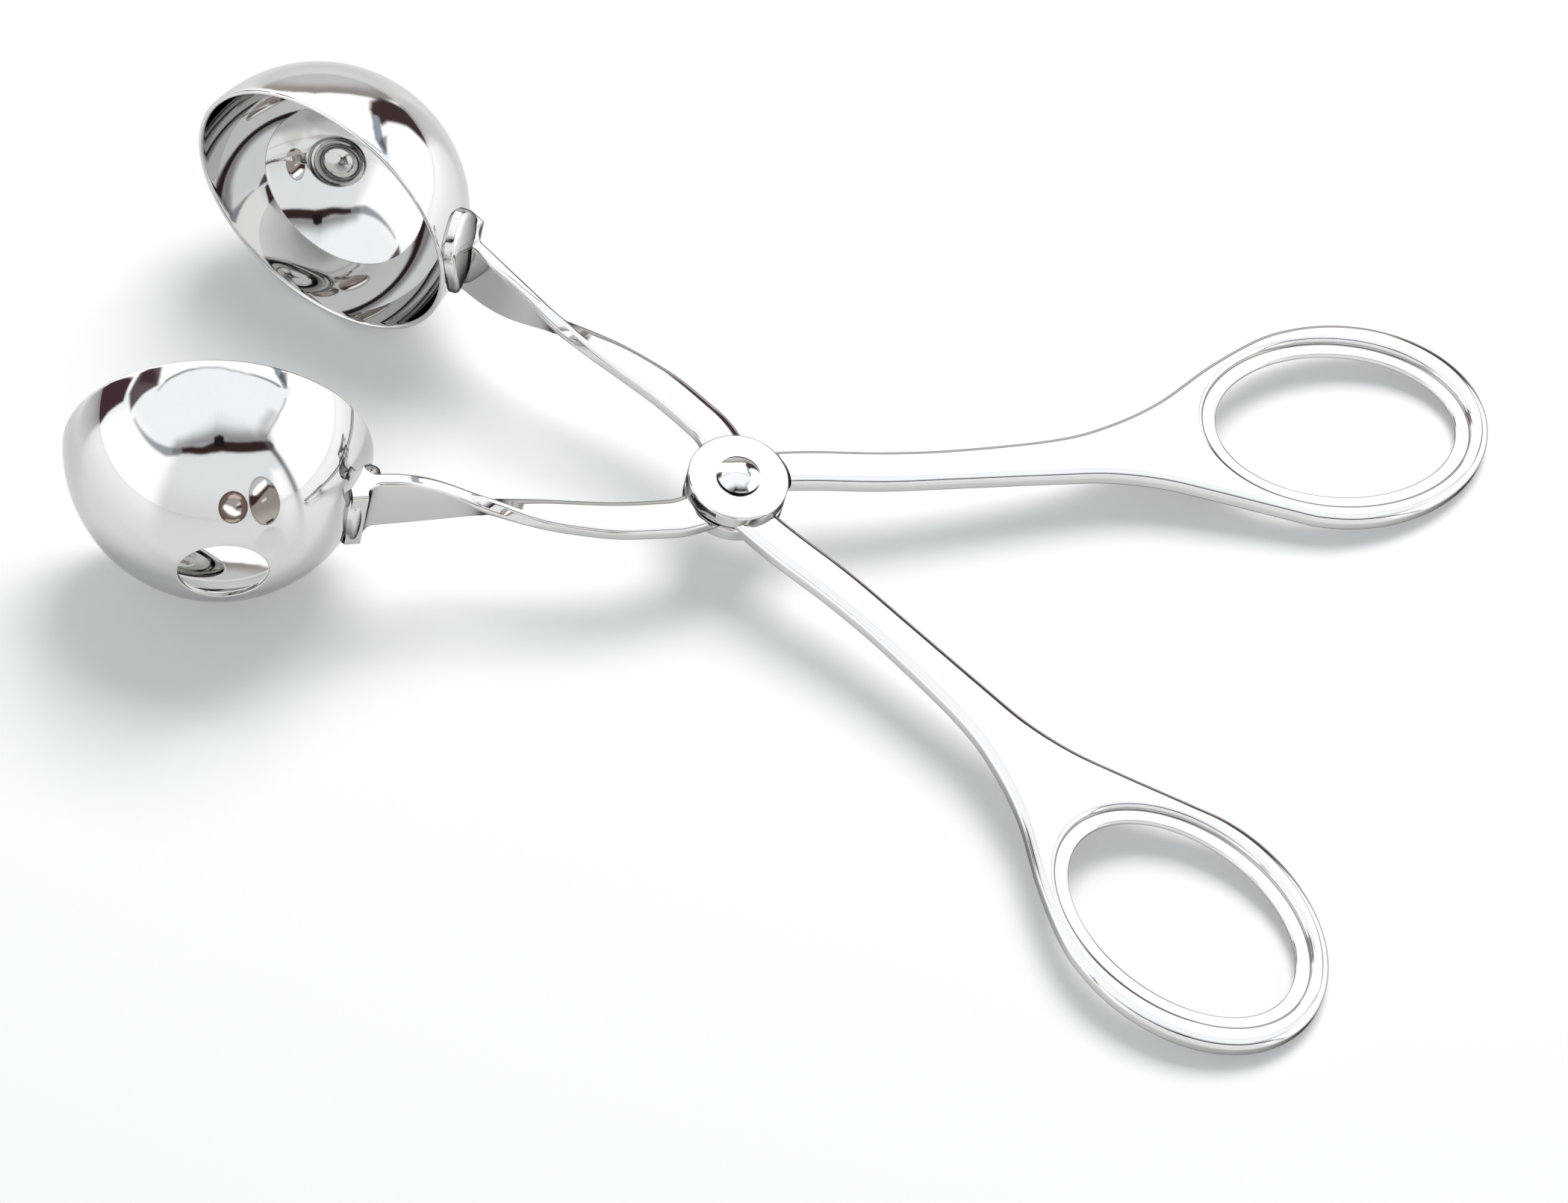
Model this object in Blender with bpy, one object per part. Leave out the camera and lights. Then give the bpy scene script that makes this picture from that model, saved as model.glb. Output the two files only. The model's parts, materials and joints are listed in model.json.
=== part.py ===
"""Meatball tongs: two crossed scissor levers, each with a finger ring at one end and a hollow
half-ball cup at the other, turning on one rivet.

Both levers are the same forged blank. The second one is turned over about the long axis, so that
the two hubs lie face to face while both arms, both rings and both cups stay in one plane.

Lever frame: the pivot is the origin and Z is its axis, X runs towards the finger ring and Y is the
side on which the ring lies. The tongs are closed when both lever frames have the same X axis.
World frame: the tongs lie on Z = 0 on their cups and on the far ends of the rings, half open,
with the rings towards +X and the origin under the middle of the bounding box.
"""

import math

import bmesh
import bpy
from mathutils import Matrix, Vector

MM = 0.001
WELD_DISTANCE = MM / 1000

# Gaps between pieces that touch on the real tongs
CONTACT_GAP = 0.3 * MM
BORE_CLEARANCE = 0.3 * MM
CUT_OVERRUN = 2.0 * MM

# Cups
CUP_RADIUS = 22.3 * MM
CUP_WALL = 0.8 * MM
CUP_HOLE_RADIUS = 6.5 * MM
CUP_HOLE_LEAN = math.radians(3.5)
CUP_DISTANCE = 75.2 * MM

# Blank
BLANK_THICKNESS = 3.0 * MM
ARM_WIDTH = 5.9 * MM
EDGE_RADIUS = 0.5 * MM

# Hub and rivet
HUB_RADIUS = 7.4 * MM
HUB_THICKNESS = 2.8 * MM
HUB_EDGE_RADIUS = 0.4 * MM
SEAT_MARGIN = 1.4 * MM
SEAT_FILLET = 0.5 * MM
SHANK_RADIUS = 2.0 * MM
HEAD_RADIUS = 3.2 * MM
HEAD_HEIGHT = 1.0 * MM
HEAD_EDGE_RADIUS = 0.45 * MM
PEEN_HEIGHT = 0.7 * MM

# Finger ring, an ellipse beside the long axis with a stepped opening
RING_REACH = 91.2 * MM
RING_OFFSET = 19.5 * MM
RING_HALF_LENGTH = 22.6 * MM
RING_HALF_WIDTH = 17.7 * MM
RING_TILT = math.radians(11.0)
RING_JOIN_ANGLES = (math.radians(-124.0), math.radians(116.0))
FACE_WIDTH = 3.0 * MM
OPENING_TILT = math.radians(6.5)
OPENING_SET_BACK = 0.8 * MM
LEDGE_WIDTH = 2.0 * MM
LEDGE_DEPTH = 1.0 * MM
LEDGE_EDGE_RADIUS = 0.4 * MM

# Foot, the flattened end of the neck that is welded to the outside of a cup. It stands a little
# askew: its outline is shifted and tilted on the ball
FOOT_ANGLE = math.radians(20.0)
FOOT_THICKNESS = 1.1 * MM
FOOT_HALF_WIDTH = 5.3 * MM
FOOT_HALF_HEIGHT = 9.2 * MM
FOOT_SIDE_SHIFT = 0.8 * MM
FOOT_DROP = 1.4 * MM
FOOT_TILT = math.radians(17.0)
FOOT_SQUARENESS = 2.6
FOOT_FILLET = 1.4 * MM

# Front arm, whose flat bar is twisted upright into a neck that fans out to the foot
FRONT_OFFSET = 7.4 * MM
NECK_HEIGHT = 11.9 * MM
NECK_RISE = 0.9 * MM
NECK_THICKNESS = 2.0 * MM
NECK_EDGE_RADIUS = 0.35 * MM

# Handle arm, hub to ring: place along the ring's reach, place along the ring's offset, and how far
# the half width has grown from the arm's to the ring's
HANDLE_STATION_SHARES = (
    (0.03, 0.15, 0.0),
    (0.12, 0.205, 0.0),
    (0.24, 0.247, 0.0),
    (0.36, 0.325, 0.0),
    (0.52, 0.46, 0.037),
    (0.61, 0.57, 0.115),
    (0.695, 0.69, 0.29),
    (0.78, 0.835, 0.575),
)

# Front arm and neck, hub to foot: place along the foot's reach, place along the front offset, width
# as a share of the arm's, growth of the width to the neck's height, and share of the quarter twist
FRONT_STATION_SHARES = (
    (0.03, 0.35, 1.15, 0.0, 0.0),
    (0.14, 0.77, 1.05, 0.0, 0.0),
    (0.22, 0.90, 1.02, 0.0, 0.0),
    (0.33, 1.0, 1.0, 0.0, 0.0),
    (0.43, 1.01, 0.92, 0.0, 0.0),
    (0.53, 0.985, 0.79, 0.0, 0.0),
    (0.61, 0.94, 0.70, 0.0, 0.12),
    (0.66, 0.91, 0.68, 0.0, 0.5),
    (0.71, 0.89, 0.70, 0.03, 0.88),
    (0.76, 0.89, 0.70, 0.22, 1.0),
    (0.82, 0.91, 0.70, 0.50, 1.0),
    (0.88, 0.95, 0.70, 0.76, 1.0),
    (0.94, 1.01, 0.70, 0.94, 1.0),
    (1.0, 1.08, 0.70, 1.0, 1.0),
)

# Pose
OPEN_ANGLE = math.radians(17.5)

# Shading and outlines: widest turn between faces that share a smooth edge, and how far an inset
# corner may run ahead of its sides, as the cosine of half the corner's turn
SMOOTH_ANGLE = math.radians(35.0)
SHARPEST_CORNER = 0.5

# Steel: base colours and roughness
LEVER_COLOUR = (0.86, 0.86, 0.85)
CUP_COLOUR = (0.90, 0.90, 0.89)
LEVER_ROUGHNESS = 0.16
CUP_ROUGHNESS = 0.05
RIVET_ROUGHNESS = 0.12

# Facets
TURNED_STEPS = 40
CUP_ARC_STEPS = 10
ELLIPSE_STEPS = 44
ROUND_STEPS = 2
CURVE_STEPS = 2
RING_CONTROL_STEP = math.radians(15.0)
FOOT_OUTLINE_STEPS = 24
FOOT_RING_SHARES = (0.3, 0.6, 0.85, 1.0)

# Sizes that follow from the ones above
HALF_BLANK = BLANK_THICKNESS / 2
HALF_SEAM = CONTACT_GAP / 2
HUB_FACE = HALF_SEAM + HUB_THICKNESS
BORE_RADIUS = SHANK_RADIUS + BORE_CLEARANCE
SEAT_RADIUS = HUB_RADIUS + SEAT_MARGIN
STEP_HALF_LENGTH = RING_HALF_LENGTH - FACE_WIDTH + OPENING_SET_BACK
STEP_HALF_WIDTH = RING_HALF_WIDTH - FACE_WIDTH
CUP_CENTRE = Vector((-CUP_DISTANCE, 0, 0))
FOOT_INNER_RADIUS = CUP_RADIUS + CONTACT_GAP
FOOT_OUTER_RADIUS = FOOT_INNER_RADIUS + FOOT_THICKNESS
FOOT_NORMAL = Vector((math.cos(FOOT_ANGLE), -math.sin(FOOT_ANGLE), 0))
FOOT_TANGENT = Vector((math.sin(FOOT_ANGLE), math.cos(FOOT_ANGLE), 0))
FOOT_REACH = CUP_DISTANCE - FOOT_OUTER_RADIUS * math.cos(FOOT_ANGLE)


def clear_scene():
    for obj in list(bpy.data.objects):
        bpy.data.objects.remove(obj, do_unlink=True)


def steel(name, colour, roughness):
    material = bpy.data.materials.new(name)
    material.use_nodes = True
    shader = material.node_tree.nodes["Principled BSDF"]
    shader.inputs["Base Color"].default_value = (*colour, 1.0)
    shader.inputs["Metallic"].default_value = 1.0
    shader.inputs["Roughness"].default_value = roughness
    return material


def smooth_rows(rows, steps):
    """Rows read from the smooth curve that passes through the given rows, steps to each span."""
    result = []
    last = len(rows) - 1
    for i in range(last):
        before, start, end, after = (rows[min(max(k, 0), last)] for k in range(i - 1, i + 3))
        for step in range(steps):
            t = step / steps
            row = []
            for a, b, c, d in zip(before, start, end, after):
                bend = 2 * a - 5 * b + 4 * c - d
                turn = 3 * b - a - 3 * c + d
                row.append(b + 0.5 * ((c - a) * t + bend * t**2 + turn * t**3))
            result.append(tuple(row))
    result.append(tuple(rows[last]))
    return result


def ellipse(centre, half_length, half_width, tilt, angles):
    points = []
    for angle in angles:
        along = half_length * math.cos(angle)
        across = half_width * math.sin(angle)
        x = centre[0] + along * math.cos(tilt) - across * math.sin(tilt)
        y = centre[1] + along * math.sin(tilt) + across * math.cos(tilt)
        points.append((x, y))
    return points


def full_turn(steps):
    return [math.tau * i / steps for i in range(steps)]


def inset(outline, depth):
    """A closed outline, drawn anticlockwise, moved inwards by depth."""
    result = []
    count = len(outline)
    for i, point in enumerate(outline):
        here = Vector(point)
        back = (here - Vector(outline[i - 1])).normalized()
        ahead = (Vector(outline[(i + 1) % count]) - here).normalized()
        along = (back + ahead).normalized()
        inward = Vector((-along.y, along.x))
        result.append(here + inward * depth / max(along.dot(ahead), SHARPEST_CORNER))
    return result


def skin(bm, loops):
    """Faces between loops that match point by point, and over the first and the last loop."""
    rings = [[bm.verts.new(point) for point in loop] for loop in loops]
    for low, high in zip(rings, rings[1:]):
        count = len(low)
        for i in range(count):
            k = (i + 1) % count
            bm.faces.new((low[i], low[k], high[k], high[i]))
    bm.faces.new(rings[0])
    bm.faces.new(rings[-1])


def finish_mesh(bm, name):
    bmesh.ops.recalc_face_normals(bm, faces=bm.faces)
    mesh = bpy.data.meshes.new(name)
    bm.to_mesh(mesh)
    bm.free()
    return mesh


def add_object(name, mesh):
    obj = bpy.data.objects.new(name, mesh)
    bpy.context.scene.collection.objects.link(obj)
    return obj


def turned(profile, name):
    """The profile, as pairs of radius and height from axis to axis, spun about Z."""
    bm = bmesh.new()
    verts = [bm.verts.new((radius, 0, height)) for radius, height in profile]
    edges = [bm.edges.new(pair) for pair in zip(verts, verts[1:])]
    bmesh.ops.spin(
        bm,
        geom=verts + edges,
        cent=(0, 0, 0),
        axis=(0, 0, 1),
        angle=math.tau,
        steps=TURNED_STEPS,
        use_merge=True,
    )
    bmesh.ops.remove_doubles(bm, verts=bm.verts, dist=WELD_DISTANCE)
    return finish_mesh(bm, name)


def quarter_round(centre, radius, start, end):
    """Points of an arc between two angles, in degrees."""
    points = []
    for i in range(ROUND_STEPS + 1):
        angle = math.radians(start + (end - start) * i / ROUND_STEPS)
        points.append((centre[0] + radius * math.cos(angle), centre[1] + radius * math.sin(angle)))
    return points


def rounded_plate(outline, name):
    """The outline as a plate about Z = 0, with its edges rounded."""
    loops = []
    flat = HALF_BLANK - EDGE_RADIUS
    for side in (-1, 1):
        for i in range(ROUND_STEPS + 1):
            turn = math.pi / 2 * (i if side > 0 else ROUND_STEPS - i) / ROUND_STEPS
            height = side * (flat + EDGE_RADIUS * math.sin(turn))
            loop = inset(outline, EDGE_RADIUS * (1 - math.cos(turn)))
            loops.append([(x, y, height) for x, y in loop])
    bm = bmesh.new()
    skin(bm, loops)
    return finish_mesh(bm, name)


def handle_outline():
    """The handle arm and the outside of its ring, drawn anticlockwise from the hub."""
    inner = []
    outer = []
    for along, across, growth in HANDLE_STATION_SHARES:
        half_width = ARM_WIDTH / 2 + growth * (RING_HALF_WIDTH - ARM_WIDTH / 2)
        inner.append((along * RING_REACH, across * RING_OFFSET - half_width))
        outer.append((along * RING_REACH, across * RING_OFFSET + half_width))
    first, last = RING_JOIN_ANGLES
    count = round((last - first) / RING_CONTROL_STEP)
    angles = [first + (last - first) * i / count for i in range(count + 1)]
    centre = (RING_REACH, RING_OFFSET)
    ring = ellipse(centre, RING_HALF_LENGTH, RING_HALF_WIDTH, RING_TILT, angles)
    return smooth_rows(inner + ring + outer[::-1], CURVE_STEPS)


def finger_opening():
    """Cutter for the finger hole, with a stepped ledge on both faces."""
    centre = (
        RING_REACH - OPENING_SET_BACK * math.cos(RING_TILT),
        RING_OFFSET - OPENING_SET_BACK * math.sin(RING_TILT),
    )
    ledge = HALF_BLANK - LEDGE_DEPTH
    face_edge = (EDGE_RADIUS, HALF_BLANK - EDGE_RADIUS)
    ledge_edge = (LEDGE_EDGE_RADIUS - LEDGE_WIDTH, ledge - LEDGE_EDGE_RADIUS)
    half_profile = [
        (EDGE_RADIUS, HALF_BLANK + CUT_OVERRUN),
        *quarter_round(face_edge, EDGE_RADIUS, 90, 180),
        (0, ledge),
        *quarter_round(ledge_edge, LEDGE_EDGE_RADIUS, 90, 180),
    ]
    profile = half_profile + [(grow, -height) for grow, height in reversed(half_profile)]
    loops = []
    for grow, height in profile:
        loop = ellipse(
            centre,
            STEP_HALF_LENGTH + grow,
            STEP_HALF_WIDTH + grow,
            OPENING_TILT,
            full_turn(ELLIPSE_STEPS),
        )
        loops.append([(x, y, height) for x, y in loop])
    bm = bmesh.new()
    skin(bm, loops)
    return finish_mesh(bm, "finger_opening")


def hub_disc():
    """Hub on the far side of the seam, a little taller than the seat that is cut into it."""
    rim_centre = (HUB_RADIUS - HUB_EDGE_RADIUS, HUB_EDGE_RADIUS - HUB_FACE)
    rim = quarter_round(rim_centre, HUB_EDGE_RADIUS, 0, -90)
    profile = [(0, HALF_BLANK), (HUB_RADIUS, HALF_BLANK), *rim, (0, -HUB_FACE)]
    return turned(profile, "hub")


def seat_cut():
    """Room for the other lever's hub, with a filleted foot."""
    top = HALF_BLANK + CUT_OVERRUN
    fillet_centre = (SEAT_RADIUS - SEAT_FILLET, SEAT_FILLET - HALF_SEAM)
    fillet = quarter_round(fillet_centre, SEAT_FILLET, 0, -90)
    profile = [(0, top), (SEAT_RADIUS, top), *fillet, (0, -HALF_SEAM)]
    return turned(profile, "seat")


def bore_cut():
    end = HUB_FACE + CUT_OVERRUN
    profile = [(0, end), (BORE_RADIUS, end), (BORE_RADIUS, -end), (0, -end)]
    return turned(profile, "bore")


def section(width, thickness, edge, twist):
    """Rounded rectangle as pairs of sideways and upward places, turned by the twist angle."""
    points = []
    for side, up in ((-1, -1), (1, -1), (1, 1), (-1, 1)):
        arc = []
        for i in range(ROUND_STEPS + 1):
            turn = math.pi / 2 * i / ROUND_STEPS
            across = side * (width / 2 - edge * (1 - math.sin(turn)))
            rise = up * (thickness / 2 - edge * (1 - math.cos(turn)))
            arc.append((across, rise))
        points.extend(arc if side * up < 0 else arc[::-1])
    c = math.cos(twist)
    s = math.sin(twist)
    return [(across * c + rise * s, rise * c - across * s) for across, rise in points]


def front_arm():
    """Front arm and upright neck, lofted from the hub to the inside of the foot plate."""
    rows = smooth_rows(FRONT_STATION_SHARES, CURVE_STEPS)
    places = [Vector((-row[0] * FOOT_REACH, -row[1] * FRONT_OFFSET, 0)) for row in rows]
    end_direction = (places[-1] - places[-2]).normalized()
    # The fillet against the foot thickens the last stretch along a quarter circle
    stations = []
    for i, (along, across, width, growth, turn) in enumerate(rows):
        ahead = places[min(i + 1, len(rows) - 1)]
        direction = (ahead - places[max(i - 1, 0)]).normalized()
        arm_width = width * ARM_WIDTH
        neck_width = arm_width + growth * (NECK_HEIGHT - arm_width)
        thickness = BLANK_THICKNESS + turn * (NECK_THICKNESS - BLANK_THICKNESS)
        edge = EDGE_RADIUS + turn * (NECK_EDGE_RADIUS - EDGE_RADIUS)
        place = places[i] + Vector((0, 0, growth * NECK_RISE))
        stations.append((place, direction, neck_width, thickness, edge, turn * math.pi / 2))
    foot_place = stations.pop()[0]
    for i in range(ROUND_STEPS + 1):
        angle = math.pi / 2 * i / ROUND_STEPS
        before = FOOT_FILLET * (1 - math.sin(angle))
        thickness = NECK_THICKNESS + 2 * FOOT_FILLET * (1 - math.cos(angle))
        place = foot_place - end_direction * before
        upright = math.pi / 2
        stations.append((place, end_direction, NECK_HEIGHT, thickness, NECK_EDGE_RADIUS, upright))
    ball_sag = FOOT_OUTER_RADIUS - math.sqrt(FOOT_OUTER_RADIUS**2 - (NECK_HEIGHT / 2) ** 2)
    place = foot_place + end_direction * (ball_sag + FOOT_THICKNESS / 2)
    stations.append((place, *stations[-1][1:]))
    loops = []
    for place, direction, width, thickness, edge, twist in stations:
        sideways = Vector((-direction.y, direction.x, 0))
        if sideways.y < 0:
            sideways.negate()
        points = section(width, thickness, edge, twist)
        loops.append([place + sideways * across + Vector((0, 0, rise)) for across, rise in points])
    bm = bmesh.new()
    skin(bm, loops)
    return finish_mesh(bm, "front_arm")


def foot_pad():
    """Pad with a ball-shaped outer face, still solid where the cup's ball is cut out of it."""
    outline = []
    for angle in full_turn(FOOT_OUTLINE_STEPS):
        c = math.cos(angle)
        s = math.sin(angle)
        size = (abs(c) ** FOOT_SQUARENESS + abs(s) ** FOOT_SQUARENESS) ** (-1 / FOOT_SQUARENESS)
        across = FOOT_HALF_WIDTH * size * c
        up = FOOT_HALF_HEIGHT * size * s
        tilted_across = across * math.cos(FOOT_TILT) - up * math.sin(FOOT_TILT)
        tilted_up = across * math.sin(FOOT_TILT) + up * math.cos(FOOT_TILT)
        outline.append(FOOT_TANGENT * tilted_across + Vector((0, 0, tilted_up)))
    middle = FOOT_TANGENT * FOOT_SIDE_SHIFT - Vector((0, 0, FOOT_DROP))

    loops = []
    for share in FOOT_RING_SHARES:
        loop = []
        for point in outline:
            flat = middle + point * share
            out = math.sqrt(FOOT_OUTER_RADIUS**2 - flat.length_squared)
            loop.append(CUP_CENTRE + FOOT_NORMAL * out + flat)
        loops.append(loop)
    # The rim is drawn straight back into the ball, which is cut out later
    farthest = max((middle + point).length for point in outline)
    back = math.sqrt(FOOT_INNER_RADIUS**2 - farthest**2) - FOOT_THICKNESS
    loops.append([CUP_CENTRE + FOOT_NORMAL * back + middle + point for point in outline])
    bm = bmesh.new()
    skin(bm, loops)
    return finish_mesh(bm, "foot")


def cup_room():
    """The ball that the foot stands on, a contact gap larger than the cup."""
    count = 2 * CUP_ARC_STEPS
    angles = [math.pi * (i / count - 0.5) for i in range(count + 1)]
    profile = [
        (FOOT_INNER_RADIUS * math.cos(angle), FOOT_INNER_RADIUS * math.sin(angle))
        for angle in angles
    ]
    mesh = turned(profile, "cup_room")
    mesh.transform(Matrix.Translation(CUP_CENTRE))
    return mesh


def combined(name, body, steps):
    """The body mesh after each join or cut, as one mesh. steps pairs an operation with a mesh."""
    whole = add_object(name, body)
    helpers = []
    for operation, mesh in steps:
        helper = add_object(mesh.name, mesh)
        helper.hide_render = True
        helper.display_type = "WIRE"
        modifier = whole.modifiers.new(mesh.name, "BOOLEAN")
        modifier.operation = operation
        modifier.solver = "EXACT"
        modifier.object = helper
        helpers.append(helper)
    bpy.context.view_layer.update()
    graph = bpy.context.evaluated_depsgraph_get()
    result = bpy.data.meshes.new_from_object(whole.evaluated_get(graph))
    result.name = name
    for obj in (whole, *helpers):
        bpy.data.objects.remove(obj, do_unlink=True)
    return result


def lever_mesh():
    """One lever: handle plate, hub, front arm and foot joined, then cut."""
    blank = rounded_plate(handle_outline(), "blank")
    steps = (
        ("UNION", hub_disc()),
        ("UNION", front_arm()),
        ("UNION", foot_pad()),
        ("DIFFERENCE", cup_room()),
        ("DIFFERENCE", seat_cut()),
        ("DIFFERENCE", bore_cut()),
        ("DIFFERENCE", finger_opening()),
    )
    return combined("lever", blank, steps)


def hole_cut():
    """Cutter for the hole, leaning from the cup's pole towards +X."""
    top = CUT_OVERRUN - CUP_RADIUS / 2
    bottom = -CUP_RADIUS - CUT_OVERRUN
    profile = [(0, top), (CUP_HOLE_RADIUS, top), (CUP_HOLE_RADIUS, bottom), (0, bottom)]
    mesh = turned(profile, "hole")
    mesh.transform(Matrix.Rotation(-CUP_HOLE_LEAN, 4, "Y"))
    return mesh


def cup_mesh():
    """Half ball, its rim set back so that two closed cups just clear, with a hole near its pole."""
    middle = CUP_RADIUS - CUP_WALL / 2
    lip = CUP_WALL / 2
    rim_angle = math.asin((HALF_SEAM + lip) / middle)
    pole_angle = math.pi / 2

    def arc(radius, start, end):
        points = []
        for i in range(CUP_ARC_STEPS + 1):
            angle = start + (end - start) * i / CUP_ARC_STEPS
            points.append((radius * math.cos(angle), -radius * math.sin(angle)))
        return points

    outside = arc(CUP_RADIUS, rim_angle, pole_angle)
    inside = arc(CUP_RADIUS - CUP_WALL, pole_angle, rim_angle)
    lip_centre = (middle * math.cos(rim_angle), -middle * math.sin(rim_angle))
    lip_points = []
    for i in range(1, ROUND_STEPS):
        angle = math.pi * i / ROUND_STEPS - rim_angle
        x = lip_centre[0] + lip * math.cos(angle)
        lip_points.append((x, lip_centre[1] + lip * math.sin(angle)))
    bowl = turned(inside + lip_points[::-1] + outside, "bowl")
    return combined("cup", bowl, [("DIFFERENCE", hole_cut())])


def rivet_mesh():
    """Rivet with a low round head above and a flatter peened head below."""
    top = HUB_FACE + CONTACT_GAP
    head_centre = (HEAD_RADIUS - HEAD_EDGE_RADIUS, top + HEAD_HEIGHT - HEAD_EDGE_RADIUS)
    head = quarter_round(head_centre, HEAD_EDGE_RADIUS, 90, 0)
    peen = quarter_round((HEAD_RADIUS - PEEN_HEIGHT, -top), PEEN_HEIGHT, 0, -90)
    profile = [
        (0, top + HEAD_HEIGHT),
        *head,
        (HEAD_RADIUS, top),
        (SHANK_RADIUS, top),
        (SHANK_RADIUS, -top),
        *peen,
        (0, -top - PEEN_HEIGHT),
    ]
    return turned(profile, "rivet")


def place(name, mesh, parent, matrix, material):
    obj = add_object(name, mesh)
    obj.parent = parent
    obj.matrix_local = matrix
    if not mesh.materials:
        mesh.materials.append(None)
    slot = obj.material_slots[0]
    slot.link = "OBJECT"
    slot.material = material
    mesh.shade_smooth()
    mesh.set_sharp_from_angle(angle=SMOOTH_ANGLE)
    return obj


def main():
    clear_scene()
    frame = add_object("tongs_frame", None)
    lower_side = add_object("lower_side", None)
    upper_side = add_object("upper_side", None)
    lower_side.parent = frame
    upper_side.parent = frame
    turn_over = Matrix.Rotation(math.pi, 4, "X")
    lower_side.matrix_local = Matrix.Rotation(OPEN_ANGLE, 4, "Z")
    upper_side.matrix_local = Matrix.Rotation(-OPEN_ANGLE, 4, "Z") @ turn_over

    lever = lever_mesh()
    cup = cup_mesh()
    rivet = rivet_mesh()
    still = Matrix.Identity(4)
    cup_place = Matrix.Translation(CUP_CENTRE) @ Matrix.Rotation(-math.pi / 2, 4, "X")
    pieces = []
    for name, mesh, parent, matrix, colour, roughness in (
        ("lower_lever", lever, lower_side, still, LEVER_COLOUR, LEVER_ROUGHNESS),
        ("upper_lever", lever, upper_side, still, LEVER_COLOUR, LEVER_ROUGHNESS),
        ("lower_cup", cup, lower_side, cup_place, CUP_COLOUR, CUP_ROUGHNESS),
        ("upper_cup", cup, upper_side, cup_place, CUP_COLOUR, CUP_ROUGHNESS),
        ("pivot_rivet", rivet, frame, still, LEVER_COLOUR, RIVET_ROUGHNESS),
    ):
        material = steel(name + "_steel", colour, roughness)
        pieces.append(place(name, mesh, parent, matrix, material))
    lay_down(frame, pieces)


def lay_down(frame, pieces):
    """Tilt the tongs until cups and rings touch Z = 0, and centre them over the origin."""
    swing = Matrix.Rotation(OPEN_ANGLE, 2)
    ring_end = max((swing @ Vector(point)).x for point in inset(handle_outline(), EDGE_RADIUS))
    span = CUP_DISTANCE * math.cos(OPEN_ANGLE) + ring_end
    lean = math.asin(CUP_RADIUS / math.hypot(span, HALF_BLANK)) - math.atan2(HALF_BLANK, span)
    frame.matrix_local = Matrix.Rotation(lean, 4, "Y")
    bpy.context.view_layer.update()
    corners = [piece.matrix_world @ vert.co for piece in pieces for vert in piece.data.vertices]
    low = Vector([min(corner[i] for corner in corners) for i in range(3)])
    high = Vector([max(corner[i] for corner in corners) for i in range(3)])
    frame.location = (-(low.x + high.x) / 2, -(low.y + high.y) / 2, -low.z)


main()
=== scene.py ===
"""Meatball tongs as photographed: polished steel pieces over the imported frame, a pale floor, soft
studio light and a camera at the photograph's angle.

Levers and rivet are built in the lever frame of the CAD source: the pivot is the origin and Z is its
axis, X runs towards the finger ring and Y is the side on which the ring lies. Cups are built about
the centre of their ball, with the rim upwards.
"""

import json
import math

import bmesh
import bpy
import numpy as np
from mathutils import Matrix, Vector


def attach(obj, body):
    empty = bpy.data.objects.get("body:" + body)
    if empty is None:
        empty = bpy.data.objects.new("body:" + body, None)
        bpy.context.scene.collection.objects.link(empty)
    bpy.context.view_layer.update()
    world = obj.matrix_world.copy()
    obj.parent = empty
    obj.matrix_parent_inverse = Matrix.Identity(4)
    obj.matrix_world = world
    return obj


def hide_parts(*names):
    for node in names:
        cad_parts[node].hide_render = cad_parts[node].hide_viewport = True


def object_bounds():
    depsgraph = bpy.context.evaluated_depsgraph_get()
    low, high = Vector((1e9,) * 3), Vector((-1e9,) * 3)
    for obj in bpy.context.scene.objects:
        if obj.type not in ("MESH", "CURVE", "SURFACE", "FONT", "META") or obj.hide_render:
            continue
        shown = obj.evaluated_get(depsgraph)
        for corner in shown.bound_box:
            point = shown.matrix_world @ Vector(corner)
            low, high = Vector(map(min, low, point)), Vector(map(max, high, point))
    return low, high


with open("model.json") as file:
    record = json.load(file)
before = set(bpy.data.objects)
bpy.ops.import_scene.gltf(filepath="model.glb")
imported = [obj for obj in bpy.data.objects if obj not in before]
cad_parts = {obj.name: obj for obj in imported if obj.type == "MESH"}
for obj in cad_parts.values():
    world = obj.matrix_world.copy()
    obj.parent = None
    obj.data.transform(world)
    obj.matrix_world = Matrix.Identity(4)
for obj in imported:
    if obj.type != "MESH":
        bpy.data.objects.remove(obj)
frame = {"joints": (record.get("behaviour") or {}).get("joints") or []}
cad_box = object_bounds()

MM = 0.001
WELD_DISTANCE = MM / 1000

# Gaps between pieces, and how far cutters reach past what they cut
CONTACT_GAP = 0.3 * MM
BORE_CLEARANCE = 0.3 * MM
FOOT_CONTACT = 0.02 * MM
CUT_OVERRUN = 2.0 * MM

# Cups
CUP_RADIUS = 22.3 * MM
CUP_WALL = 0.8 * MM
CUP_HOLE_RADIUS = 6.5 * MM
CUP_HOLE_EDGE_RADIUS = 0.15 * MM
CUP_HOLE_LEAN = math.radians(3.5)
CUP_DISTANCE = 75.2 * MM

# Blank
BLANK_THICKNESS = 3.0 * MM
ARM_WIDTH = 5.9 * MM

# Hub and rivet. The corners of the hub's seat stand back by the corner room, which grows from nothing
# to its full size between two angles off the long axis, in degrees
HUB_RADIUS = 7.4 * MM
HUB_THICKNESS = 2.8 * MM
HUB_EDGE_RADIUS = 0.4 * MM
SEAT_MARGIN = 0.7 * MM
SEAT_FILLET = 0.4 * MM
SEAT_CORNER_ROOM = 0.6 * MM
SEAT_CORNER_ANGLES = (36.0, 50.0)
SEAM_EDGE_RADIUS = 0.5 * MM
SHANK_RADIUS = 2.0 * MM
HEAD_RADIUS = 3.2 * MM
HEAD_WALL = 0.2 * MM
HEAD_RISE = 1.1 * MM
PEEN_HEIGHT = 0.7 * MM

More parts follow.
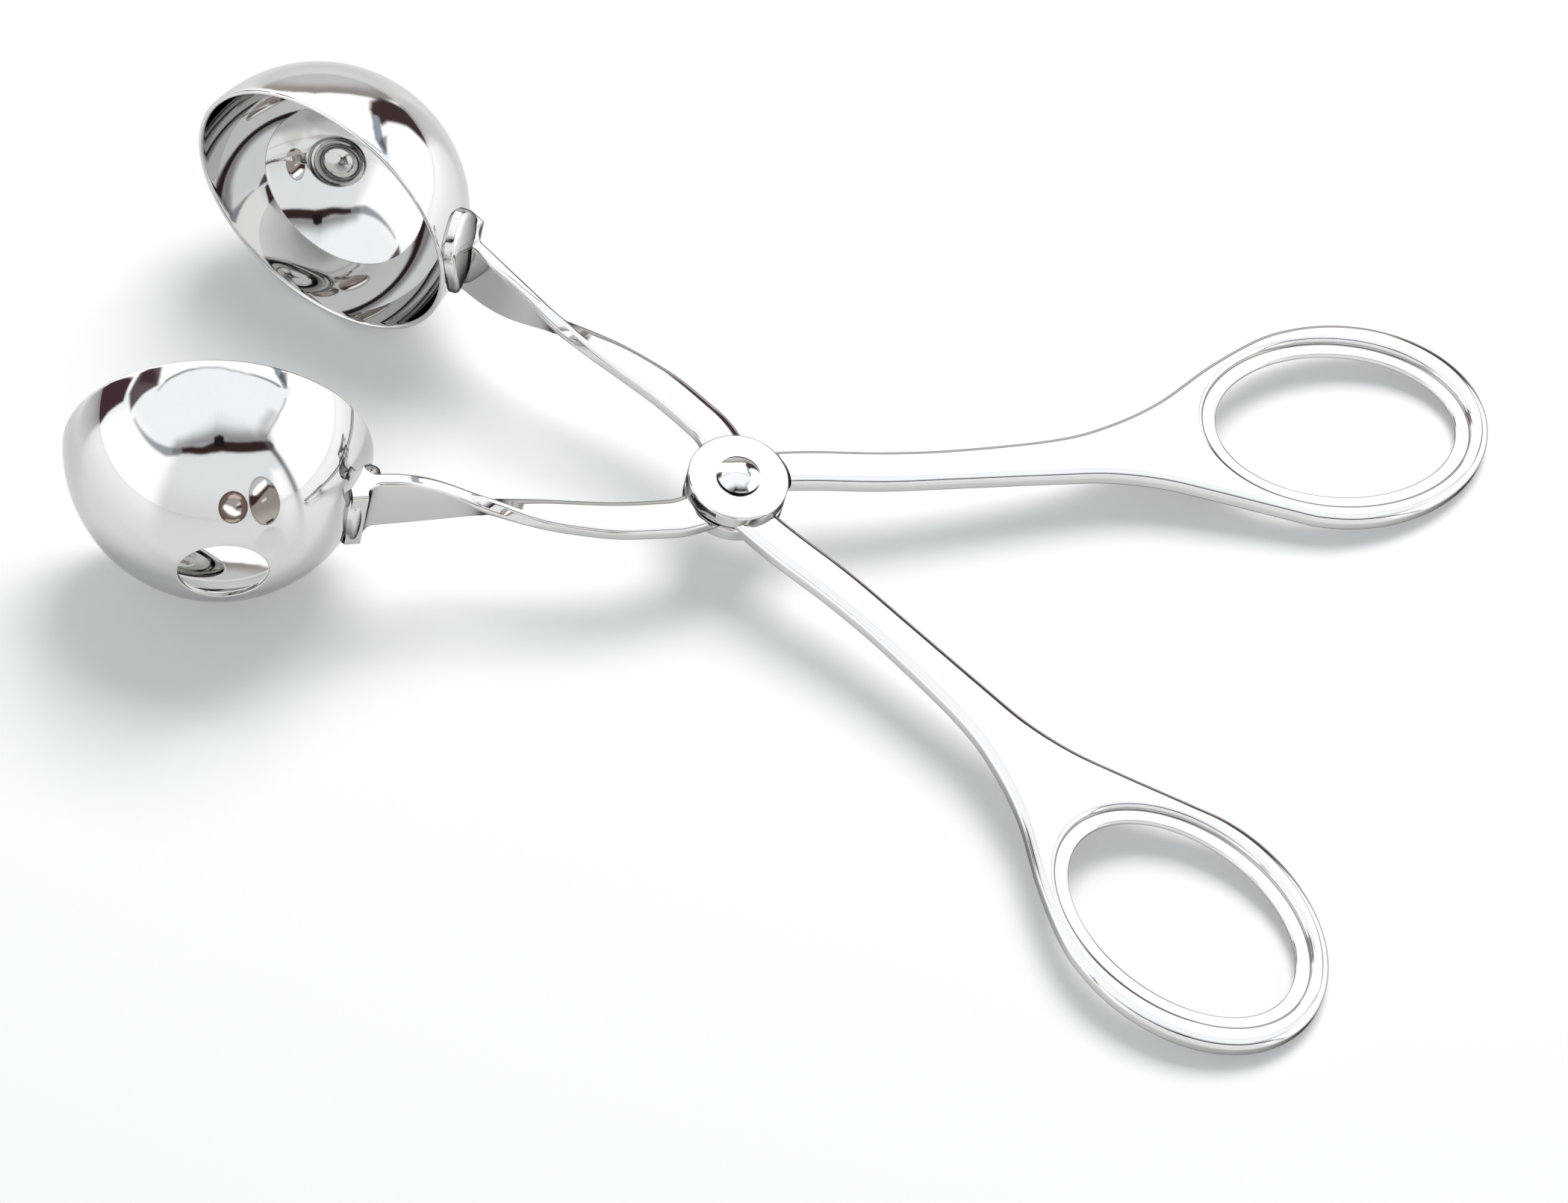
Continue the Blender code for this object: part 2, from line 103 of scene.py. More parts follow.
# Finger ring, an ellipse beside the long axis with a stepped opening
RING_REACH = 91.2 * MM
RING_OFFSET = 19.5 * MM
RING_HALF_LENGTH = 22.6 * MM
RING_HALF_WIDTH = 17.7 * MM
RING_TILT = math.radians(11.0)
RING_JOIN_ANGLES = (math.radians(-124.0), math.radians(116.0))
FACE_WIDTH = 3.0 * MM
OPENING_TILT = math.radians(6.5)
OPENING_SET_BACK = 0.8 * MM
OPENING_EDGE_RADIUS = 0.9 * MM
LEDGE_WIDTH = 2.0 * MM
LEDGE_DEPTH = 1.0 * MM
LEDGE_EDGE_RADIUS = 0.4 * MM

# Foot, the flattened end of the neck that is welded to the outside of a cup. It stands a little
# askew: its outline is shifted and tilted on the ball, and its lower end slants about a level place
# that lies off the middle by a share of the half width
FOOT_ANGLE = math.radians(20.0)
FOOT_THICKNESS = 1.1 * MM
FOOT_HALF_WIDTH = 5.3 * MM
FOOT_HALF_HEIGHT = 8.6 * MM
FOOT_SIDE_SHIFT = 0.8 * MM
FOOT_DROP = 2.0 * MM
FOOT_SLANT = 0.5 * MM
FOOT_SLANT_SHIFT_SHARE = 0.4
FOOT_TILT = math.radians(17.0)
FOOT_SQUARENESS = 2.6
FOOT_FILLET = 2.2 * MM
FOOT_EDGE_RADIUS = 0.6 * MM

# Front arm, whose flat bar is twisted upright into a neck that fans out to the foot. The neck's
# middle rises as it fans out. Its end sinks into the foot and flares there, and the root behind it
# fills the pad
FRONT_OFFSET = 7.4 * MM
NECK_HEIGHT = 11.9 * MM
NECK_RISE = 1.6 * MM
NECK_THICKNESS = 2.0 * MM
NECK_SINK = 1.6 * MM
NECK_FLARE = 1.3 * MM
NECK_ROOT = 1.0 * MM

# Edge roundings, each with its size sideways and its size upwards: the handle plate's, the front
# arm's broad and tight ones, and the neck's
PLATE_EDGE = (1.4 * MM, 0.9 * MM)
ARM_EDGE = (2.5 * MM, 1.3 * MM)
ARM_TIGHT_EDGE = (0.7 * MM, 0.6 * MM)
NECK_EDGE = (0.6 * MM, 0.6 * MM)

# Handle arm, hub to ring: place along the ring's reach, place along the ring's offset, and how far
# the half width has grown from the arm's to the ring's
HANDLE_STATION_SHARES = (
    (0.03, 0.15, 0.0),
    (0.12, 0.205, 0.0),
    (0.24, 0.247, 0.0),
    (0.36, 0.325, 0.0),
    (0.52, 0.46, 0.037),
    (0.61, 0.57, 0.115),
    (0.695, 0.69, 0.29),
    (0.78, 0.835, 0.575),
)

# Front arm and neck, hub to foot: place along the foot's reach, place along the front offset, width
# as a share of the arm's, growth of the width to the neck's height, and share of the quarter twist
FRONT_STATION_SHARES = (
    (0.03, 0.35, 1.15, 0.0, 0.0),
    (0.14, 0.77, 1.05, 0.0, 0.0),
    (0.22, 0.90, 1.02, 0.0, 0.0),
    (0.33, 1.0, 1.0, 0.0, 0.0),
    (0.43, 1.01, 0.92, 0.0, 0.0),
    (0.50, 0.995, 0.84, 0.0, 0.01),
    (0.555, 0.97, 0.77, 0.0, 0.08),
    (0.61, 0.94, 0.71, 0.0, 0.28),
    (0.66, 0.91, 0.69, 0.0, 0.54),
    (0.71, 0.89, 0.70, 0.03, 0.80),
    (0.76, 0.89, 0.70, 0.20, 0.96),
    (0.82, 0.91, 0.70, 0.47, 1.0),
    (0.88, 0.95, 0.70, 0.70, 1.0),
    (0.94, 1.01, 0.70, 0.84, 1.0),
    (1.0, 1.08, 0.70, 0.90, 1.0),
)

# Pose: how far each lever is turned out of line at rest
OPEN_ANGLE = math.radians(17.5)

# Shading and outlines: widest turn between faces that share a smooth edge, how much large faces rule
# the normals, in percent, and how far an inset corner may run ahead of its sides, as the cosine of
# half the corner's turn
SMOOTH_ANGLE = math.radians(35.0)
NORMAL_WEIGHT = 100
SHARPEST_CORNER = 0.5

# Facets
TURNED_STEPS = 128
CUP_TURN_STEPS = 256
CUP_ARC_STEPS = 72
ELLIPSE_STEPS = 176
ROUND_STEPS = 8
CURVE_STEPS = 8
RING_CONTROL_STEP = math.radians(15.0)
FOOT_OUTLINE_STEPS = 96
FOOT_RING_SHARES = (0.2, 0.4, 0.6, 0.75, 0.84)

# Sizes that follow from the ones above
HALF_BLANK = BLANK_THICKNESS / 2
HALF_SEAM = CONTACT_GAP / 2
HUB_FACE = HALF_SEAM + HUB_THICKNESS
BORE_RADIUS = SHANK_RADIUS + BORE_CLEARANCE
SEAT_RADIUS = HUB_RADIUS + SEAT_MARGIN
STEP_HALF_LENGTH = RING_HALF_LENGTH - FACE_WIDTH + OPENING_SET_BACK
STEP_HALF_WIDTH = RING_HALF_WIDTH - FACE_WIDTH
CUP_CENTRE = Vector((-CUP_DISTANCE, 0, 0))
FOOT_INNER_RADIUS = CUP_RADIUS + FOOT_CONTACT
FOOT_OUTER_RADIUS = CUP_RADIUS + CONTACT_GAP + FOOT_THICKNESS
FOOT_NORMAL = Vector((math.cos(FOOT_ANGLE), -math.sin(FOOT_ANGLE), 0))
FOOT_TANGENT = Vector((math.sin(FOOT_ANGLE), math.cos(FOOT_ANGLE), 0))
FOOT_REACH = CUP_DISTANCE - FOOT_OUTER_RADIUS * math.cos(FOOT_ANGLE)


def smooth_share(share):
    """The share, held between 0 and 1, with a soft start and a soft end."""
    share = np.clip(share, 0, 1)
    return share * share * (3 - 2 * share)


def smooth_rows(rows, steps):
    """Rows read from the smooth curve that passes through the given rows, steps to each span."""
    result = []
    last = len(rows) - 1
    for i in range(last):
        before, start, end, after = (rows[min(max(k, 0), last)] for k in range(i - 1, i + 3))
        for step in range(steps):
            t = step / steps
            row = []
            for a, b, c, d in zip(before, start, end, after):
                bend = 2 * a - 5 * b + 4 * c - d
                turn = 3 * b - a - 3 * c + d
                row.append(b + 0.5 * ((c - a) * t + bend * t**2 + turn * t**3))
            result.append(tuple(row))
    result.append(tuple(rows[last]))
    return result


def ellipse(centre, half_length, half_width, tilt, angles):
    """Points of an ellipse whose long axis is turned by the tilt."""
    points = []
    for angle in angles:
        along = half_length * math.cos(angle)
        across = half_width * math.sin(angle)
        x = centre[0] + along * math.cos(tilt) - across * math.sin(tilt)
        y = centre[1] + along * math.sin(tilt) + across * math.cos(tilt)
        points.append((x, y))
    return points


def full_turn(steps):
    return [math.tau * i / steps for i in range(steps)]


def inset(outline, depth):
    """A closed outline, drawn anticlockwise, moved inwards by depth."""
    result = []
    count = len(outline)
    for i, point in enumerate(outline):
        here = Vector(point)
        back = (here - Vector(outline[i - 1])).normalized()
        ahead = (Vector(outline[(i + 1) % count]) - here).normalized()
        along = (back + ahead).normalized()
        inward = Vector((-along.y, along.x))
        result.append(here + inward * depth / max(along.dot(ahead), SHARPEST_CORNER))
    return result


def finish_mesh(bm, name):
    bmesh.ops.recalc_face_normals(bm, faces=bm.faces)
    mesh = bpy.data.meshes.new(name)
    bm.to_mesh(mesh)
    bm.free()
    return mesh


def skinned(loops, name, closed=False):
    """A mesh of faces between loops that match point by point. Closed, the last loop joins the first,
    and otherwise a face covers each of them."""
    bm = bmesh.new()
    rings = [[bm.verts.new(point) for point in loop] for loop in loops]
    following = rings[1:] + rings[:1] if closed else rings[1:]
    for low, high in zip(rings, following):
        count = len(low)
        for i in range(count):
            k = (i + 1) % count
            bm.faces.new((low[i], low[k], high[k], high[i]))
    if not closed:
        bm.faces.new(rings[0])
        bm.faces.new(rings[-1])
    return finish_mesh(bm, name)


def add_object(name, data):
    obj = bpy.data.objects.new(name, data)
    bpy.context.scene.collection.objects.link(obj)
    return obj


def turned(profile, name):
    """The profile, as pairs of radius and height from axis to axis, spun about Z."""
    bm = bmesh.new()
    verts = [bm.verts.new((radius, 0, height)) for radius, height in profile]
    edges = [bm.edges.new(pair) for pair in zip(verts, verts[1:])]
    bmesh.ops.spin(
        bm,
        geom=verts + edges,
        cent=(0, 0, 0),
        axis=(0, 0, 1),
        angle=math.tau,
        steps=TURNED_STEPS,
        use_merge=True,
    )
    bmesh.ops.remove_doubles(bm, verts=bm.verts, dist=WELD_DISTANCE)
    return finish_mesh(bm, name)


def quarter_round(centre, radius, start, end):
    """Points of an arc from one angle to another, in degrees."""
    points = []
    for i in range(ROUND_STEPS + 1):
        angle = math.radians(start + (end - start) * i / ROUND_STEPS)
        points.append((centre[0] + radius * math.cos(angle), centre[1] + radius * math.sin(angle)))
    return points


def rounded_plate(outline, name):
    """The outline as a plate about Z = 0, with its edges rounded."""
    loops = []
    across, rise = PLATE_EDGE
    for side in (-1, 1):
        for i in range(ROUND_STEPS + 1):
            turn = math.pi / 2 * (i if side > 0 else ROUND_STEPS - i) / ROUND_STEPS
            height = side * (HALF_BLANK - rise + rise * math.sin(turn))
            loop = inset(outline, across * (1 - math.cos(turn)))
            loops.append([(x, y, height) for x, y in loop])
    return skinned(loops, name)


def handle_outline():
    """The handle arm and the outside of its ring, drawn anticlockwise from the hub."""
    inner = []
    outer = []
    for along, across, growth in HANDLE_STATION_SHARES:
        half_width = ARM_WIDTH / 2 + growth * (RING_HALF_WIDTH - ARM_WIDTH / 2)
        inner.append((along * RING_REACH, across * RING_OFFSET - half_width))
        outer.append((along * RING_REACH, across * RING_OFFSET + half_width))
    first, last = RING_JOIN_ANGLES
    count = round((last - first) / RING_CONTROL_STEP)
    angles = [first + (last - first) * i / count for i in range(count + 1)]
    centre = (RING_REACH, RING_OFFSET)
    ring = ellipse(centre, RING_HALF_LENGTH, RING_HALF_WIDTH, RING_TILT, angles)
    points = smooth_rows(inner + ring + outer[::-1], CURVE_STEPS)
    # Close to the two corners at the hub there are no more points, so that insets stay simple
    ends = (Vector(points[0]), Vector(points[-1]))
    between = [
        point
        for point in points[1:-1]
        if min((Vector(point) - end).length for end in ends) > 2 * PLATE_EDGE[0]
    ]
    return [points[0], *between, points[-1]]


def finger_opening():
    """Cutter for the finger hole, with a stepped ledge on both faces."""
    centre = (
        RING_REACH - OPENING_SET_BACK * math.cos(RING_TILT),
        RING_OFFSET - OPENING_SET_BACK * math.sin(RING_TILT),
    )
    ledge = HALF_BLANK - LEDGE_DEPTH
    face_edge = (OPENING_EDGE_RADIUS, HALF_BLANK - OPENING_EDGE_RADIUS)
    ledge_edge = (LEDGE_EDGE_RADIUS - LEDGE_WIDTH, ledge - LEDGE_EDGE_RADIUS)
    half_profile = [
        (OPENING_EDGE_RADIUS, HALF_BLANK + CUT_OVERRUN),
        *quarter_round(face_edge, OPENING_EDGE_RADIUS, 90, 180),
        (0, ledge),
        *quarter_round(ledge_edge, LEDGE_EDGE_RADIUS, 90, 180),
    ]
    profile = half_profile + [(grow, -height) for grow, height in reversed(half_profile)]
    loops = []
    for grow, height in profile:
        loop = ellipse(
            centre,
            STEP_HALF_LENGTH + grow,
            STEP_HALF_WIDTH + grow,
            OPENING_TILT,
            full_turn(ELLIPSE_STEPS),
        )
        loops.append([(x, y, height) for x, y in loop])
    return skinned(loops, "finger_opening")


def hub_disc():
    """Hub on the far side of the seam, a little taller than the seat that is cut into it."""
    rim_centre = (HUB_RADIUS - HUB_EDGE_RADIUS, HUB_EDGE_RADIUS - HUB_FACE)
    rim = quarter_round(rim_centre, HUB_EDGE_RADIUS, 0, -90)
    seam_centre = (HUB_RADIUS - SEAM_EDGE_RADIUS, -HALF_SEAM - SEAM_EDGE_RADIUS)
    seam = quarter_round(seam_centre, SEAM_EDGE_RADIUS, 90, 0)
    profile = [(0, HALF_BLANK), (seam[0][0], HALF_BLANK), *seam, *rim, (0, -HUB_FACE)]
    return turned(profile, "hub")


def seat_cut():
    """Room for the other lever's hub, with a filleted foot."""
    top = HALF_BLANK + CUT_OVERRUN
    fillet_centre = (SEAT_RADIUS - SEAT_FILLET, SEAT_FILLET - HALF_SEAM)
    fillet = quarter_round(fillet_centre, SEAT_FILLET, 0, -90)
    profile = [(0, top), (SEAT_RADIUS, top), *fillet, (0, -HALF_SEAM)]
    mesh = turned(profile, "seat")
    # The corners beside the bars stand back, so that the other lever's bars pass at the widest spread
    start, end = SEAT_CORNER_ANGLES
    for vertex in mesh.vertices:
        radius = math.hypot(vertex.co.x, vertex.co.y)
        if radius > WELD_DISTANCE:
            off = math.degrees(math.atan2(abs(vertex.co.y), abs(vertex.co.x)))
            room = SEAT_CORNER_ROOM * smooth_share((off - start) / (end - start))
            vertex.co.x *= 1 + room / radius
            vertex.co.y *= 1 + room / radius
    return mesh


def bore_cut():
    end = HUB_FACE + CUT_OVERRUN
    profile = [(0, end), (BORE_RADIUS, end), (BORE_RADIUS, -end), (0, -end)]
    return turned(profile, "bore")


def section(width, thickness, edges, twist):
    """Rounded rectangle as pairs of sideways and upward places, turned by the twist angle. Each edge
    is rounded over its first size sideways and its second size upward: the first edge is the one on
    the far side of the top and on the near side of the bottom."""
    points = []
    for side, up in ((-1, -1), (1, -1), (1, 1), (-1, 1)):
        arc = []
        edge = edges[0] if side * up > 0 else edges[1]
        for i in range(ROUND_STEPS + 1):
            turn = math.pi / 2 * i / ROUND_STEPS
            across = side * (width / 2 - edge[0] * (1 - math.sin(turn)))
            rise = up * (thickness / 2 - edge[1] * (1 - math.cos(turn)))
            arc.append((across, rise))
        points.extend(arc if side * up < 0 else arc[::-1])
    c = math.cos(twist)
    s = math.sin(twist)
    return [(across * c + rise * s, rise * c - across * s) for across, rise in points]


def front_arm():
    """Front arm and upright neck, lofted from the hub to the inside of the foot plate."""
    rows = smooth_rows(FRONT_STATION_SHARES, CURVE_STEPS)
    places = [Vector((-row[0] * FOOT_REACH, -row[1] * FRONT_OFFSET, 0)) for row in rows]
    end_direction = (places[-1] - places[-2]).normalized()
    stations = []
    for i, (_, _, width, growth, turn) in enumerate(rows):
        ahead = places[min(i + 1, len(rows) - 1)]
        direction = (ahead - places[max(i - 1, 0)]).normalized()
        arm_width = width * ARM_WIDTH
        neck_width = arm_width + growth * (NECK_HEIGHT - arm_width)
        thickness = BLANK_THICKNESS + turn * (NECK_THICKNESS - BLANK_THICKNESS)
        edges = []
        for flat_edge in (ARM_EDGE, ARM_TIGHT_EDGE):
            edges.append([a + turn * (b - a) for a, b in zip(flat_edge, NECK_EDGE)])
        place = places[i] + Vector((0, 0, growth * NECK_RISE))
        stations.append((place, direction, neck_width, thickness, edges, turn * math.pi / 2))

    # The fillet against the foot thickens the last stretch along a quarter circle, and flares it
    # downwards. The stations that it overruns make way
    foot_place = stations.pop()[0] + end_direction * NECK_SINK
    while (foot_place - stations[-1][0]).dot(end_direction) <= FOOT_FILLET:
        stations.pop()
    last_rise = stations[-1][0].z
    last_width = stations[-1][2]
    edges = (NECK_EDGE, NECK_EDGE)
    upright = math.pi / 2
    for i in range(ROUND_STEPS + 1):
        angle = math.pi / 2 * i / ROUND_STEPS
        before = FOOT_FILLET * (1 - math.sin(angle))
        thickness = NECK_THICKNESS + 2 * FOOT_FILLET * (1 - math.cos(angle))
        flare = NECK_FLARE * (1 - math.cos(angle))
        place = foot_place - end_direction * before
        place.z = last_rise - flare / 2
        stations.append((place, end_direction, last_width + flare, thickness, edges, upright))

    # The root goes on into the pad, past where the ball curves away from the neck's middle
    ball_sag = FOOT_OUTER_RADIUS - math.sqrt(FOOT_OUTER_RADIUS**2 - (NECK_HEIGHT / 2) ** 2)
    place = stations[-1][0] + end_direction * (ball_sag + FOOT_THICKNESS / 2 + NECK_ROOT)
    stations.append((place, *stations[-1][1:]))

    loops = []
    for place, direction, width, thickness, edges, twist in stations:
        sideways = Vector((-direction.y, direction.x, 0))
        if sideways.y < 0:
            sideways.negate()
        points = section(width, thickness, edges, twist)
        loops.append([place + sideways * across + Vector((0, 0, rise)) for across, rise in points])
    return skinned(loops, "front_arm")


def foot_pad():
    """Pad with a ball-shaped outer face, still solid where the cup's ball is cut out of it."""
    outline = []
    for angle in full_turn(FOOT_OUTLINE_STEPS):
        c = math.cos(angle)
        s = math.sin(angle)
        size = (abs(c) ** FOOT_SQUARENESS + abs(s) ** FOOT_SQUARENESS) ** (-1 / FOOT_SQUARENESS)
        across = FOOT_HALF_WIDTH * size * c
        up = FOOT_HALF_HEIGHT * size * s
        tilted_across = across * math.cos(FOOT_TILT) - up * math.sin(FOOT_TILT)
        tilted_up = across * math.sin(FOOT_TILT) + up * math.cos(FOOT_TILT)
        if up < 0:
            slant_share = across / FOOT_HALF_WIDTH + FOOT_SLANT_SHIFT_SHARE
            tilted_up -= FOOT_SLANT * up / FOOT_HALF_HEIGHT * slant_share
        outline.append(FOOT_TANGENT * tilted_across + Vector((0, 0, tilted_up)))
    middle = FOOT_TANGENT * FOOT_SIDE_SHIFT - Vector((0, 0, FOOT_DROP))

    loops = []
    rings = [(share, 0.0) for share in FOOT_RING_SHARES]
    for i in range(ROUND_STEPS + 1):
        turn = math.pi / 2 * i / ROUND_STEPS
        share = 1 - FOOT_EDGE_RADIUS / FOOT_HALF_WIDTH * (1 - math.sin(turn))
        rings.append((share, FOOT_EDGE_RADIUS * (1 - math.cos(turn))))
    for share, drop in rings:
        loop = []
        for point in outline:
            flat = middle + point * share
            out = math.sqrt(FOOT_OUTER_RADIUS**2 - flat.length_squared) - drop
            loop.append(CUP_CENTRE + FOOT_NORMAL * out + flat)
        loops.append(loop)
    # The rim is drawn straight back into the ball, which is cut out later
    farthest = max((middle + point).length for point in outline)
    back = math.sqrt(FOOT_INNER_RADIUS**2 - farthest**2) - FOOT_THICKNESS
    loops.append([CUP_CENTRE + FOOT_NORMAL * back + middle + point for point in outline])
    return skinned(loops, "foot")


def cup_room():
    """The ball that the foot stands on, larger than the cup by the foot's contact."""
    count = 2 * CUP_ARC_STEPS
    angles = [math.pi * (i / count - 0.5) for i in range(count + 1)]
    profile = [
        (FOOT_INNER_RADIUS * math.cos(angle), FOOT_INNER_RADIUS * math.sin(angle))
        for angle in angles
    ]
    mesh = turned(profile, "cup_room")
    mesh.transform(Matrix.Translation(CUP_CENTRE))
    return mesh


def combined(name, body, steps):
    """The body mesh after each join or cut, as one mesh. steps pairs an operation with a mesh."""
    whole = add_object(name, body)
    helpers = []
    for operation, mesh in steps:
        helper = add_object(mesh.name, mesh)
        helper.hide_render = True
        helper.display_type = "WIRE"
        modifier = whole.modifiers.new(mesh.name, "BOOLEAN")
        modifier.operation = operation
        modifier.solver = "EXACT"
        modifier.object = helper
        helpers.append(helper)
    bpy.context.view_layer.update()
    graph = bpy.context.evaluated_depsgraph_get()
    result = bpy.data.meshes.new_from_object(whole.evaluated_get(graph))
    result.name = name
    for obj in (whole, *helpers):
        bpy.data.objects.remove(obj, do_unlink=True)
    return result


def lever_mesh():
    """One lever: handle plate, hub, front arm and foot joined, then cut."""
    blank = rounded_plate(handle_outline(), "blank")
    steps = (
        ("UNION", hub_disc()),
        ("UNION", front_arm()),
        ("UNION", foot_pad()),
        ("DIFFERENCE", cup_room()),
        ("DIFFERENCE", seat_cut()),
        ("DIFFERENCE", bore_cut()),
        ("DIFFERENCE", finger_opening()),
    )
    return combined("lever", blank, steps)


def rivet_mesh():
    """Rivet with a domed head above and a flatter peened head below."""
    top = HUB_FACE + CONTACT_GAP
    ball = (HEAD_RADIUS**2 + HEAD_RISE**2) / (2 * HEAD_RISE)
    crown = top + HEAD_WALL + HEAD_RISE
    slope = math.asin(HEAD_RADIUS / ball)
    head = []
    for i in range(1, 2 * ROUND_STEPS + 1):
        turn = slope * i / (2 * ROUND_STEPS)
        head.append((ball * math.sin(turn), crown - ball * (1 - math.cos(turn))))
    peen = quarter_round((HEAD_RADIUS - PEEN_HEIGHT, -top), PEEN_HEIGHT, 0, -90)
    profile = [
        (0, crown),
        *head,
        (HEAD_RADIUS, top),
        (SHANK_RADIUS, top),
        (SHANK_RADIUS, -top),
        *peen,
        (0, -top - PEEN_HEIGHT),
    ]
    return turned(profile, "rivet")


def cup_mesh():
    """Half ball drawn from the hole near its pole out to the rolled rim and back on the inside."""
    lean = Matrix.Rotation(-CUP_HOLE_LEAN, 3, "Y")
    inner_radius = CUP_RADIUS - CUP_WALL
    middle = CUP_RADIUS - CUP_WALL / 2
    lip = CUP_WALL / 2
    rim_angle = math.asin((HALF_SEAM + lip) / middle)

    def hole_loop(rho, depth):
        loop = []
        for angle in full_turn(CUP_TURN_STEPS):
            loop.append(lean @ Vector((rho * math.cos(angle), rho * math.sin(angle), -depth)))
        return loop

    def rim_loop(radius, height):
        return [
            Vector((radius * math.cos(angle), radius * math.sin(angle), height))
            for angle in full_turn(CUP_TURN_STEPS)
        ]

    def ball_loops(first, last, steps):
        """Loops on the ball between two loops that lie on it."""
        loops = []
        for i in range(steps + 1):
            share = i / steps
            loop = []
            for a, b in zip(first, last):
                turn = a.angle(b)
                near = math.sin((1 - share) * turn) / math.sin(turn)
                far = math.sin(share * turn) / math.sin(turn)
                loop.append(a * near + b * far)
            loops.append(loop)
        return loops

    hole = CUP_HOLE_RADIUS
    edge = CUP_HOLE_EDGE_RADIUS

    def hole_edge_loops(face_depth, wall_depth, turns):
        """Loops over a rounded edge of the hole. Turn 0 is on the cup's face, the last on the wall."""
        loops = []
        for turn in turns:
            angle = math.pi / 2 * turn / ROUND_STEPS
            rho = hole + edge * (1 - math.sin(angle))
            depth = face_depth + (wall_depth - face_depth) * (1 - math.cos(angle))
            loops.append(hole_loop(rho, depth))
        return loops

    outer_depth = math.sqrt(CUP_RADIUS**2 - (hole + edge) ** 2)
    inner_depth = math.sqrt(inner_radius**2 - (hole + edge) ** 2)
    wall_outer = math.sqrt(CUP_RADIUS**2 - hole**2) - edge
    wall_inner = math.sqrt(inner_radius**2 - hole**2) + edge

    outer_hole = hole_loop(hole + edge, outer_depth)
    inner_hole = hole_loop(hole + edge, inner_depth)
    outer_rim = rim_loop(CUP_RADIUS * math.cos(rim_angle), -CUP_RADIUS * math.sin(rim_angle))
    inner_rim = rim_loop(inner_radius * math.cos(rim_angle), -inner_radius * math.sin(rim_angle))

    loops = ball_loops(outer_hole, outer_rim, CUP_ARC_STEPS)
    lip_centre = (middle * math.cos(rim_angle), -middle * math.sin(rim_angle))
    lip_steps = 2 * ROUND_STEPS
    for i in range(1, lip_steps):
        angle = math.pi * i / lip_steps - rim_angle
        radius = lip_centre[0] + lip * math.cos(angle)
        loops.append(rim_loop(radius, lip_centre[1] + lip * math.sin(angle)))
    loops += ball_loops(inner_rim, inner_hole, CUP_ARC_STEPS)
    loops += hole_edge_loops(inner_depth, wall_inner, range(1, ROUND_STEPS + 1))
    loops += hole_edge_loops(outer_depth, wall_outer, range(ROUND_STEPS, 0, -1))
    return skinned(loops, "cup", closed=True)


# Polish of the steel. Its noises are given by scale, per metre, and detail: a slow drift, the lines of
# the buffing wheel, and specks. Limits and shares say how far each moves tone, gloss and height
DRIFT_NOISE = (90.0, 3.0)
LINE_NOISE = (900.0, 2.0)
SPECK_NOISE = (4200.0, 1.0)
NOISE_RANGE = (0.3, 0.7)
WORN_RANGE = (0.52, 0.6)
DRIFT_TONES = (0.35, 0.9)
LINE_TONES = (-0.15, 0.15)
DULL_SHARE = 0.94
DRIFT_GLOSS_SHARES = (0.7, 1.3)
LINE_GLOSS_SHARES = (-0.25, 0.35)
SPECK_GLOSS_SHARES = (0.0, 0.2)
LINE_RIPPLE_SHARE = 0.06
BUMP_DISTANCE = 1.0 * MM


